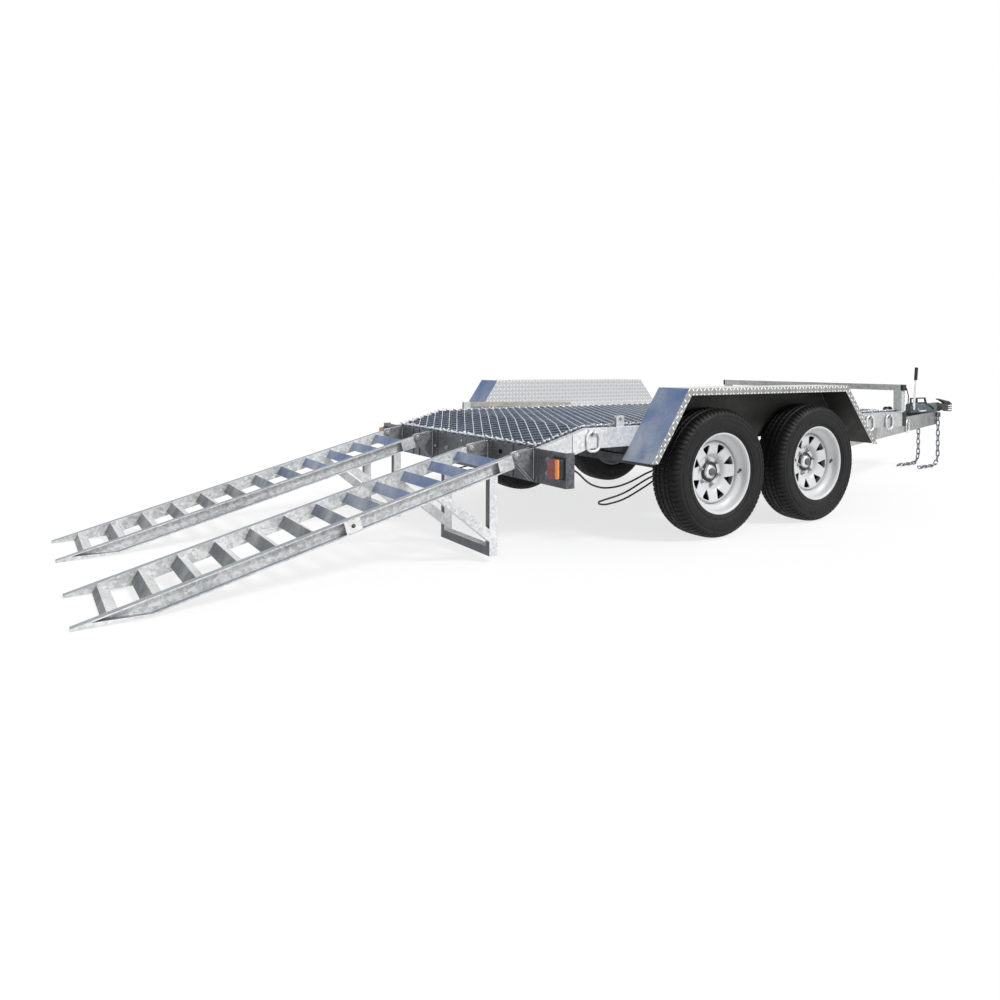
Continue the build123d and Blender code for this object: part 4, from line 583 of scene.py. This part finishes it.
def wheel_pieces(wheel, side, where, body):
    """Disc with its windows cut out, barrel, hub with drum, cap, nuts and valve of one wheel."""
    disc, cutter = Form(), Form()
    ring_about_y(disc, DISC, side)
    for k in range(WINDOWS):
        angle = radians(WINDOW_TURN[wheel] + 360 / WINDOWS * k)
        at = place((0, 0, 0), (0, 1, 0), (cos(angle), 0, sin(angle)))
        cutter.prism(WINDOW, at, 0.08, -0.04)
    for angle in nut_angles(wheel):
        at = place((NUT_CIRCLE * cos(angle), 0, NUT_CIRCLE * sin(angle)), (0, 1, 0))
        cutter.prism([(0.0085 * cos(j * pi / 8), 0.0085 * sin(j * pi / 8)) for j in range(16)], at, 0.06, -0.03)
    shape = disc.made("wheel_disc_" + wheel, WHEEL, body, "wheel_paint", origin=where)
    knife = bpy.data.objects.new("knife", cutter.mesh("knife", WHEEL))
    bpy.context.collection.objects.link(knife)
    knife.location = where
    cut = shape.modifiers.new("windows", "BOOLEAN")
    cut.operation, cut.object, cut.solver = "DIFFERENCE", knife, "EXACT"
    bpy.context.view_layer.update()
    result = bpy.data.meshes.new_from_object(shape.evaluated_get(bpy.context.evaluated_depsgraph_get()))
    shape.modifiers.clear()
    shape.data = result
    result.set_sharp_from_angle(angle=radians(35))
    bpy.data.objects.remove(knife)
    soften(shape, 0.0008)
    barrel = Form()
    ring_about_y(barrel, BARREL, side)
    made = barrel.made("wheel_barrel_" + wheel, WHEEL, body, "wheel_paint", ("rim_" + wheel,), origin=where)
    made.data.set_sharp_from_angle(angle=radians(50))

    out = place((0, 0, 0), (0, side, 0))
    hub = Form()
    hub.turned([(0.0370, -0.030), (0.0515, -0.028), (0.0530, -0.010), (0.0530, -0.001), (0.0505, 0.002),
                (0.0450, 0.0025), (0.0400, -0.004)], out, 48)
    hub.turned([(0.1540, -0.075), (0.1540, -0.010), (0.1500, -0.006), (0.1100, -0.012),
                (0.0500, -0.0145)], out, 64)
    hub.turned([(0.0500, -0.080), (0.0500, -0.050)], out, 32)
    hub.made("wheel_hub_" + wheel, BLACK, body, "black_paint", ("hub_" + wheel,), origin=where)
    cap = Form()
    cap.turned([(0.0385, -0.008), (0.0385, 0.001), (0.0350, 0.003), (0.0345, 0.0075), (0.0325, 0.0105),
                (0.0240, 0.0135), (0.0120, 0.0150), (0.0030, 0.0152)], out, 40)
    cap.turned([(0.0065, 0.0140), (0.0065, 0.0172), (0.0050, 0.0180)], out, 14)
    cap.made("hub_cap_" + wheel, BRIGHT, body, "bright_metal", origin=where)
    nuts = Form()
    for angle in nut_angles(wheel):
        at = place((NUT_CIRCLE * cos(angle), side * -0.0095, NUT_CIRCLE * sin(angle)), (0, side, 0))
        nuts.turned([(0.0118, 0), (0.0118, 0.0035), (0.0100, 0.005)], at, 20)
        nuts.turned([(0.0102, 0.004), (0.0102, 0.013), (0.0085, 0.016)], at, 6, False)
        nuts.turned([(0.0060, 0.015), (0.0060, 0.022), (0.0045, 0.024)], at, 12)
    nuts.made("wheel_nuts_" + wheel, NUT, body, "bright_metal", origin=where)
    turn = radians(VALVE_TURN[wheel])
    foot = Vector((VALVE_AT * cos(turn), side * 0.045, VALVE_AT * sin(turn)))
    lean = Vector((-0.90 * cos(turn), side * 0.40, -0.90 * sin(turn) - 0.25))
    stem = Form()
    stem.turned([(0.0075, 0), (0.0075, 0.004), (0.0048, 0.008), (0.0042, 0.026), (0.0048, 0.027),
                 (0.0048, 0.037), (0.0036, 0.039)], place(foot, lean), 14)
    stem.made("tyre_valve_" + wheel, PLASTIC, body, "black_plastic", origin=where)


tyre_mesh = None
for side_name, side in SIDES:
    for axle_name, x in WHEEL_X.items():
        wheel = axle_name + "_" + side_name
        where, body = (x, side * WHEEL_Y, WHEEL_Z), "wheel_" + wheel
        if tyre_mesh is None:
            tyre_mesh = tyre_form().made("treaded_tyre_" + wheel, RUBBER, body, "tyre_rubber",
                                         ("tyre_" + wheel,), origin=where).data
            tyre_mesh.set_sharp_from_angle(angle=radians(38))
        else:
            placed("treaded_tyre_" + wheel, tyre_mesh, body, ("tyre_" + wheel,), origin=where)
        wheel_pieces(wheel, side, where, body)


# ---------------------------------------------------------------- expanded metal
LONG, SHORT = 0.099, 0.052      # diagonals of a diamond, across and along the deck
HALF_MESH = 0.770
LEVEL_SPAN, TAIL_SPAN = (0.0003, 2.616), (-0.2754, -0.0003)     # along the deck from its bend
TAIL_LEAN = atan2(0.080, 0.275)


def mesh_lines(x0, x1, lean_way):
    """Both ends of every strand of one family on a stretch of the deck, in (x, y) from the bend."""
    rise = lean_way * LONG / SHORT
    reach = ceil((HALF_MESH + rise * lean_way * max(abs(x0), abs(x1))) / LONG) + 1
    for k in range(-reach, reach):
        shift = (k + 0.5) * LONG
        low = max(x0, min((-HALF_MESH - shift) / rise, (HALF_MESH - shift) / rise))
        high = min(x1, max((-HALF_MESH - shift) / rise, (HALF_MESH - shift) / rise))
        if (high - low) * hypot(1, rise) > 0.020:
            yield (low, rise * low + shift), (high, rise * high + shift)


def on_deck(x, y, up):
    """A point at a distance along the deck from its bend, and square above the deck."""
    if x > 0:
        return Vector((BEND_X + x, y, DECK_TOP + up))
    return Vector((BEND_X + x * cos(TAIL_LEAN) - up * sin(TAIL_LEAN), y,
                   DECK_TOP + x * sin(TAIL_LEAN) + up * cos(TAIL_LEAN)))


def strand_rings(start, end, width, thick, lean, mid):
    """Rings of a strand: a thin leaning blade that thickens where two strands are one."""
    (x0, y0), (x1, y1) = start, end
    way = Vector((x1 - x0, y1 - y0)).normalized()
    across = Vector((way.y, -way.x))
    half_cell = SHORT / 4
    first, last = ceil(x0 / half_cell), round_down(x1 / half_cell)
    stops = [x0] + [k * half_cell for k in range(first, last + 1)] + [x1]
    rings = []
    for k, x in enumerate(stops):
        y = y0 + (x - x0) * (y1 - y0) / (x1 - x0)
        phase = (x / (SHORT / 2)) % 1.0
        bond = phase < 0.01 or phase > 0.99
        half_w, half_t = width / 2 * (0.8 if bond else 1.0), thick / 2 * (1.5 if bond else 1.0)
        ring = []
        for a, b in ((-1, -1), (1, -1), (1, 1), (-1, 1)):
            side = a * half_w * cos(lean) - b * half_t * sin(lean)
            up = a * half_w * sin(lean) + b * half_t * cos(lean)
            ring.append(on_deck(x + across.x * side, y + across.y * side, mid + up))
        rings.append(ring)
    return rings


# the upper family of strands takes the painted highlight, the lower one the painted shade
for name, lean_way, finish, width, thick, mid in (
        ("expanded_strands_upper", 1, STRAND_HIGHLIGHT, 0.0052, 0.0026, 0.0037),
        ("expanded_strands_lower", -1, STRAND_SHADE, 0.0044, 0.0026, 0.0030)):
    form = Form()
    for span in (LEVEL_SPAN, TAIL_SPAN):
        for start, end in mesh_lines(span[0], span[1], lean_way):
            form.loft(strand_rings(start, end, width, thick, radians(62), mid))
            if lean_way < 0:
                continue
            for x, y in (start, end):
                if abs(x - TAIL_SPAN[0]) < 1e-6:      # curled ends along the rear panel
                    curl = [on_deck(x + dx, y + dy, up) for dx, dy, up in (
                        (0.012, 0.004, 0.004), (0.0, 0.001, 0.006), (-0.006, -0.001, 0.012),
                        (-0.003, -0.001, 0.018), (0.004, 0.001, 0.019))]
                    form.tube(curl, [0.0028, 0.0034, 0.0036, 0.0034, 0.0024], 8)
                elif abs(abs(y) - HALF_MESH) < 1e-6:   # bent ends along the side rails
                    edge = 1 if y > 0 else -1
                    curl = [on_deck(x + dx, y + edge * dy, up) for dx, dy, up in (
                        (-0.006, -0.010, 0.004), (0.0, 0.0, 0.006), (0.003, 0.004, 0.010),
                        (0.002, 0.004, 0.014))]
                    form.tube(curl, [0.0024, 0.0030, 0.0032, 0.0024], 6)
    form.made(name, finish, "chassis", "mesh_zinc", (name.replace("expanded", "mesh"),))


# ---------------------------------------------------------------- fittings
def rounded_box(a0, a1, b0, b1, radius, steps=5):
    """Outline of a rectangle with round corners."""
    corners = ((a1 - radius, b1 - radius, 0), (a0 + radius, b1 - radius, 90), (a0 + radius, b0 + radius, 180),
               (a1 - radius, b0 + radius, 270))
    points = []
    for a, b, turn in corners:
        for k in range(steps):
            angle = radians(turn + 90 * k / (steps - 1))
            points.append((a + radius * cos(angle), b + radius * sin(angle)))
    return points


def oval(middle, first, second, half_a, half_b, round_a, count=5):
    """Points of a stadium or oval ring about a middle, in two directions."""
    points = []
    for sign_a, sign_b, turn in ((1, 1, 0), (-1, 1, 90), (-1, -1, 180), (1, -1, 270)):
        for k in range(count):
            angle = radians(turn + 90 * (k + 0.5) / count)
            a = sign_a * (half_a - round_a) + round_a * cos(angle)
            b = sign_b * (half_b - round_a) + round_a * sin(angle)
            points.append(middle + first * a + second * b)
    return points


# the cut and bent ends of the expanded metal's strands, along the rear panel and both side rails
chance = Random(5)
nubs = Form()
for span in (LEVEL_SPAN, TAIL_SPAN):
    for lean_way in (1, -1):
        for start, end in mesh_lines(*span, lean_way):
            for (x, y), (far_x, far_y) in ((start, end), (end, start)):
                at_panel = x < TAIL_SPAN[0] + 0.001
                if abs(y) < HALF_MESH - 0.001 and not at_panel:
                    continue
                go = Vector((far_x - x, far_y - y)).normalized() * 0.020
                up = (0.015 if at_panel else 0.011) * chance.uniform(0.6, 1.3)
                size = (0.0062 if at_panel else 0.0048) * chance.uniform(0.8, 1.2)
                path = [on_deck(x + go.x * 1.5, y + go.y * 1.5, 0.004),
                        on_deck(x + go.x * 0.6, y + go.y * 0.6, 0.008), on_deck(x, y, up),
                        on_deck(x - go.x * 0.3, y + chance.uniform(-0.010, 0.010), up + 0.005)]
                nubs.tube(path, [size * 0.6, size, size * 1.1, size * 0.4], 6)
nubs.made("strand_ends", RING, "chassis", "mesh_zinc")

# rear lamps: red inboard, amber outboard, on a black housing
LAMP_Y, LAMP_Z, LAMP_HALF = 0.984, 0.426, 0.0435
red, amber, shell = Form(), Form(), Form()
for name, side in SIDES:
    at = place((PANEL_X - 0.005, side * LAMP_Y, LAMP_Z), (-1, 0, 0), (0, side, 0))
    shell.prism(rounded_box(-0.043, 0.043, -LAMP_HALF, LAMP_HALF, 0.007), at, 0.022, 0)
    red.prism(rounded_box(-0.041, 0.0165, -0.042, 0.042, 0.006), at, 0.0105, 0.0215)
    amber.prism(rounded_box(0.0175, 0.0390, -0.042, 0.042, 0.006), at, 0.0105, 0.0215)
    for k in range(7):
        b = -0.036 + 0.012 * k
        red.prism(rounded_box(-0.037, 0.0125, b - 0.0022, b + 0.0022, 0.002, 3), at, 0.0015, 0.0315)
        amber.prism(rounded_box(0.0210, 0.0355, b - 0.0022, b + 0.0022, 0.002, 3), at, 0.0015, 0.0315)
red.made("lamp_lens_red", RED, "chassis", "red_lens", ("lamp_red",), 0.0010)
amber.made("lamp_lens_amber", AMBER, "chassis", "amber_lens", ("lamp_amber",), 0.0010)
shell.made("lamp_shells", PLASTIC, "chassis", "black_plastic", (), 0.0012)

# safety chains: direction, roll and sideways swing of each link from straight down
CHAIN_START, CHAIN_STEP = (3.028737, 0.092, 0.454055), 0.0446
CHAIN_COURSE = ([(0, 0, 0)] * 8 + [(-18, 15, 0), (-48, 30, 0), (-80, 45, 0)]
                + [(-90, 45, swing) for swing in (6, -7, 3, 9, -5)])
for name, side in SIDES:
    links = Form()
    point = Vector(CHAIN_START)
    for k, (turn, roll, swing) in enumerate(CHAIN_COURSE):
        a, b = radians(turn), radians(swing)
        step = Vector((sin(a) * cos(b), abs(sin(a)) * sin(b), -cos(a)))
        flat = Vector((cos(a), 0, sin(a)))
        angle = radians(roll + 90 * ((k + 1) % 2))
        wide = flat.cross(step) * cos(angle) + flat * sin(angle)
        path = oval(point + step * 0.022, step, wide, 0.027, 0.013, 0.0129)
        links.tube([(q.x, side * q.y, q.z) for q in path], 0.0051, 8, True)
        point += step * CHAIN_STEP
    links.made("chain_links_" + name, CHAIN, "chassis", "chain_zinc", ("safety_chain_" + name,))

# lashing rings and the saddles that hold them, on the frame and the drawbar: x, y, hook's height and turn
RAIL_RINGS_X, DRAWBAR_RING_X = (-1.297263, 0.925737, 1.138737), 2.060737
DRAWBAR_REAR_X, DRAWBAR_SLOPE = 0.740737, 0.3233
ring_spots = [(x, HALF_FRAME, 0.566, 0.0) for x in RAIL_RINGS_X]
ring_spots.append((DRAWBAR_RING_X, HALF_FRAME - 0.010 - (DRAWBAR_RING_X - DRAWBAR_REAR_X) * DRAWBAR_SLOPE, 0.470,
                   atan2(DRAWBAR_SLOPE, 1)))
rings, saddles = Form(), Form()
for x, y, top, turn in ring_spots:
    for name, side in SIDES:
        along = Vector((cos(turn), -side * sin(turn), 0))
        outward = Vector((sin(turn), side * cos(turn), 0))
        middle = Vector((x, side * y, top - 0.052)) + outward * 0.0078
        rings.tube(oval(middle, along, Vector((0, 0, 1)), 0.0375, 0.0455, 0.030), 0.0068, 10, True)
        high = middle + Vector((0, 0, 0.0455))
        course = ((-0.008, -0.016), (0.002, -0.0125), (0.0125, -0.006), (0.0130, 0.006))
        saddles.tube([high + outward * out + Vector((0, 0, rise)) for out, rise in course],
                     [0.0085, 0.0065, 0.006, 0.0045], 10)
rings.made("round_rings", RING, "chassis", "galvanised", ("lashing_rings",))
saddles.made("ring_saddles", STEEL, "chassis", "galvanised")

# coupling: banded nose, skirts and pin of the handle, white strip and cable on the housing
BALL_X, HEAD_TOP = 3.342737, 0.559
bands, black, cable = Form(), Form(), Form()
for low, high in ((0.484, 0.497), (0.503, 0.515), (0.521, 0.534)):
    bands.turned([(0.0372, low), (0.0388, low + 0.002), (0.0390, (low + high) / 2), (0.0388, high - 0.002),
                  (0.0372, high)], place((BALL_X, 0, 0), (0, 0, 1)), 40)
bands.made("nose_bands", BRIGHT, "chassis", "bright_metal")
flank = place((0, 0, 0), (0, -1, 0), (1, 0, 0))
skirt = ((-0.150, 0.026), (-0.020, 0.007), (0.016, 0.005), (0.010, -0.018), (-0.045, -0.014), (-0.110, 0.010))
for y in (-0.0165, 0.0135):
    black.prism([(BALL_X + dx, HEAD_TOP + dz) for dx, dz in skirt], flank, 0.003, y)
black.turned([(0.0062, -0.030), (0.0062, 0.030)], place((BALL_X - 0.012, 0, HEAD_TOP - 0.008), (0, 1, 0)), 14)
black.made("handle_skirts", BLACK, "chassis", "black_paint", (), 0.0008)
strip = Form()
strip.prism(rounded_box(2.812, 2.920, 0.489, 0.500, 0.002), flank, 0.0012, 0.0446)
strip.made("housing_strip", WHITE, "chassis", "wheel_paint")
cable.tube([(2.925, -0.038, 0.558), (2.945, -0.047, 0.551), (2.985, -0.051, 0.532), (3.030, -0.052, 0.512),
            (3.060, -0.050, 0.500), (3.085, -0.040, 0.493)], 0.0042, 8)
for side in (-1, 1):    # up the front posts
    cable.tube([(1.285, side * 0.835, 0.560), (1.330, side * 0.842, 0.600), (1.346, side * 0.838, 0.680),
                (1.342, side * 0.825, 0.735)], 0.0036, 8)
cable.made("coupling_cables", SHEATH, "chassis", "cable_sheath")

# rubber stops on the deck beside the right front post
stops = Form()
for x in (1.276, 1.317):
    stops.turned([(0.0195, 0), (0.0205, 0.008), (0.0185, 0.018), (0.0120, 0.025), (0.0040, 0.027)],
                 place((x, -0.715, DECK_TOP + 0.004), (0, 0, 1)), 20)
stops.made("deck_stops", BLACK, "chassis", "black_plastic")

# bolts, nuts and pins
bolts = Form()
for side in (-1, 1):
    for x in (-1.1713, 1.0, 0.2, -0.55):    # deck
        bolts.bolt(place((x, side * 0.790, DECK_TOP + 0.0045), (0, 0, 1)), 0.008)
    for z in (0.395, 0.455):                # rear panel's ends
        bolts.bolt(place((PANEL_X, side * 0.895, z), (-1, 0, 0)), 0.010, True, 0.006)
    for y in (0.120, 0.260):                # rear panel's middle
        bolts.bolt(place((PANEL_X, side * y, 0.418), (-1, 0, 0)), 0.010, True, 0.004)
    for x in (2.790, 3.045):                # coupling's housing
        bolts.bolt(place((x, side * 0.0450, 0.505), (0, side, 0)), 0.010)
        bolts.bolt(place((x, side * 0.032, 0.556), (0, 0, 1)), 0.008)
    for z in (0.400, 0.440):                # nose plate
        bolts.bolt(place((3.0688, side * 0.040, z), (1, 0, 0)), 0.009)
    for x in WHEEL_X.values():              # U-bolts
        for dx in (-0.031, 0.031):
            for y in (0.761, 0.823):
                bolts.bolt(place((x + dx, side * y, 0.3995), (0, 0, 1)), 0.008, True, 0.003)
for name, side in SIDES:
    for k in (-1, 1):
        middle = side * RAMP_Y + k * EYE_Y
        for out in (-1, 1):                 # ends of the hinge pins
            head = middle + out * 0.0240
            bolts.turned([(0.0085, 0), (0.0085, 0.0030), (0.0060, 0.0048)],
                         place((HINGE_X, head, HINGE_Z), (0, out, 0)), 18)
bolts.made("chassis_bolts", NUT, "chassis", "bright_metal")

# weld beads of the hinge lugs and the splice of the side rail
beads = Form()
for side in (-1, 1):
    for k in (-1, 1):
        for d in (-LUG_Y, LUG_Y):
            y = side * RAMP_Y + k * EYE_Y + d
            beads.bead((PANEL_X - 0.001, y, 0.352), (PANEL_X - 0.001, y, 0.488), 0.0026)
    for z0, z1, x0, x1 in ((0.576, 0.480, BEND_X, BEND_X - 0.002), (0.5765, 0.5765, 1.245, 1.300)):
        beads.bead((x0, side * 0.8235, z0), (x1, side * 0.8235, z1), 0.0028)
beads.made("weld_beads", STEEL, "chassis", "galvanised")

# each ramp's welds where the rungs meet its rails, down to the last rung that leaves them room above the floor
LAST_WELD = 1.45
welded = [along for along in (FIRST_RUNG + RUNG_PITCH * k for k in range(12)) if along <= LAST_WELD]
for name, side in SIDES:
    beads = Form()
    for along in welded:
        for out in (-1, 1):
            y = side * RAMP_Y + out * 0.2050
            for way in (-1, 1):
                beads.bead(slope_point(along + way * 0.003, -0.008, y),
                           slope_point(along + way * 0.030, -0.036, y), 0.0024)
    beads.made("rung_welds_" + name, RAMP, "ramp_" + name, "galvanised")


# ---------------------------------------------------------------- stage and light
def seen_directly(tree):
    """One for camera, mirror and glass rays, nought for light that falls on the object."""
    path = tree.nodes.new("ShaderNodeLightPath")
    total = path.outputs["Is Camera Ray"]
    for other in ("Is Glossy Ray", "Is Transmission Ray"):
        made = tree.nodes.new("ShaderNodeMath")
        made.operation = "MAXIMUM"
        tree.links.new(total, made.inputs[0])
        tree.links.new(path.outputs[other], made.inputs[1])
        total = made.outputs[0]
    return total


FLOOR_GLOW, GLOW_STRENGTH = 0.72, 1.04      # share of the floor's look that is plain white, and how bright it is
WORLD_LIGHT, WORLD_SEEN = 0.55, 1.0         # the world's strength for light on the object, and as it is seen
mesh = bpy.data.meshes.new("floor")
mesh.from_pydata([(-60, -60, 0), (60, -60, 0), (60, 60, 0), (-60, 60, 0)], [], [(0, 1, 2, 3)])
floor = bpy.data.objects.new("floor", mesh)
bpy.context.collection.objects.link(floor)
s = Shade("floor")
pale = s.ramp(s.noise(0.6, 3), (0.3, 0.88), (0.7, 0.9))
s.done(pale, 0.9)
glow = s.tree.nodes.new("ShaderNodeEmission")
glow.inputs["Color"].default_value = (1, 1, 1, 1)
glow.inputs["Strength"].default_value = GLOW_STRENGTH
blend = s.tree.nodes.new("ShaderNodeMixShader")
share = s.math("MULTIPLY", seen_directly(s.tree), FLOOR_GLOW)
s.tree.links.new(share, blend.inputs[0])
s.tree.links.new(s.bsdf.outputs[0], blend.inputs[1])
s.tree.links.new(glow.outputs[0], blend.inputs[2])
s.tree.links.new(blend.outputs[0], s.tree.nodes["Material Output"].inputs["Surface"])
floor.data.materials.append(s.mat)
floor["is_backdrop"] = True

world = bpy.data.worlds.new("world")
bpy.context.scene.world = world
world.use_nodes = True
tree = world.node_tree
background = tree.nodes["Background"]
strength = tree.nodes.new("ShaderNodeMapRange")
strength.inputs["To Min"].default_value = WORLD_LIGHT
strength.inputs["To Max"].default_value = WORLD_SEEN
tree.links.new(seen_directly(tree), strength.inputs["Value"])
tree.links.new(strength.outputs[0], background.inputs["Strength"])
background.inputs["Color"].default_value = (1, 1, 1, 1)

light = bpy.data.lights.new("key", "SUN")
light.energy, light.angle = 2.4, radians(14)
key = bpy.data.objects.new("key", light)
bpy.context.collection.objects.link(key)
key.rotation_mode = "QUATERNION"
key.rotation_quaternion = Vector((0.35, -0.75, 0.7)).to_track_quat("Z", "Y")

low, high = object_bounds()
{"cad": [list(cad_low), list(cad_high)], "visual": [list(low), list(high)]}
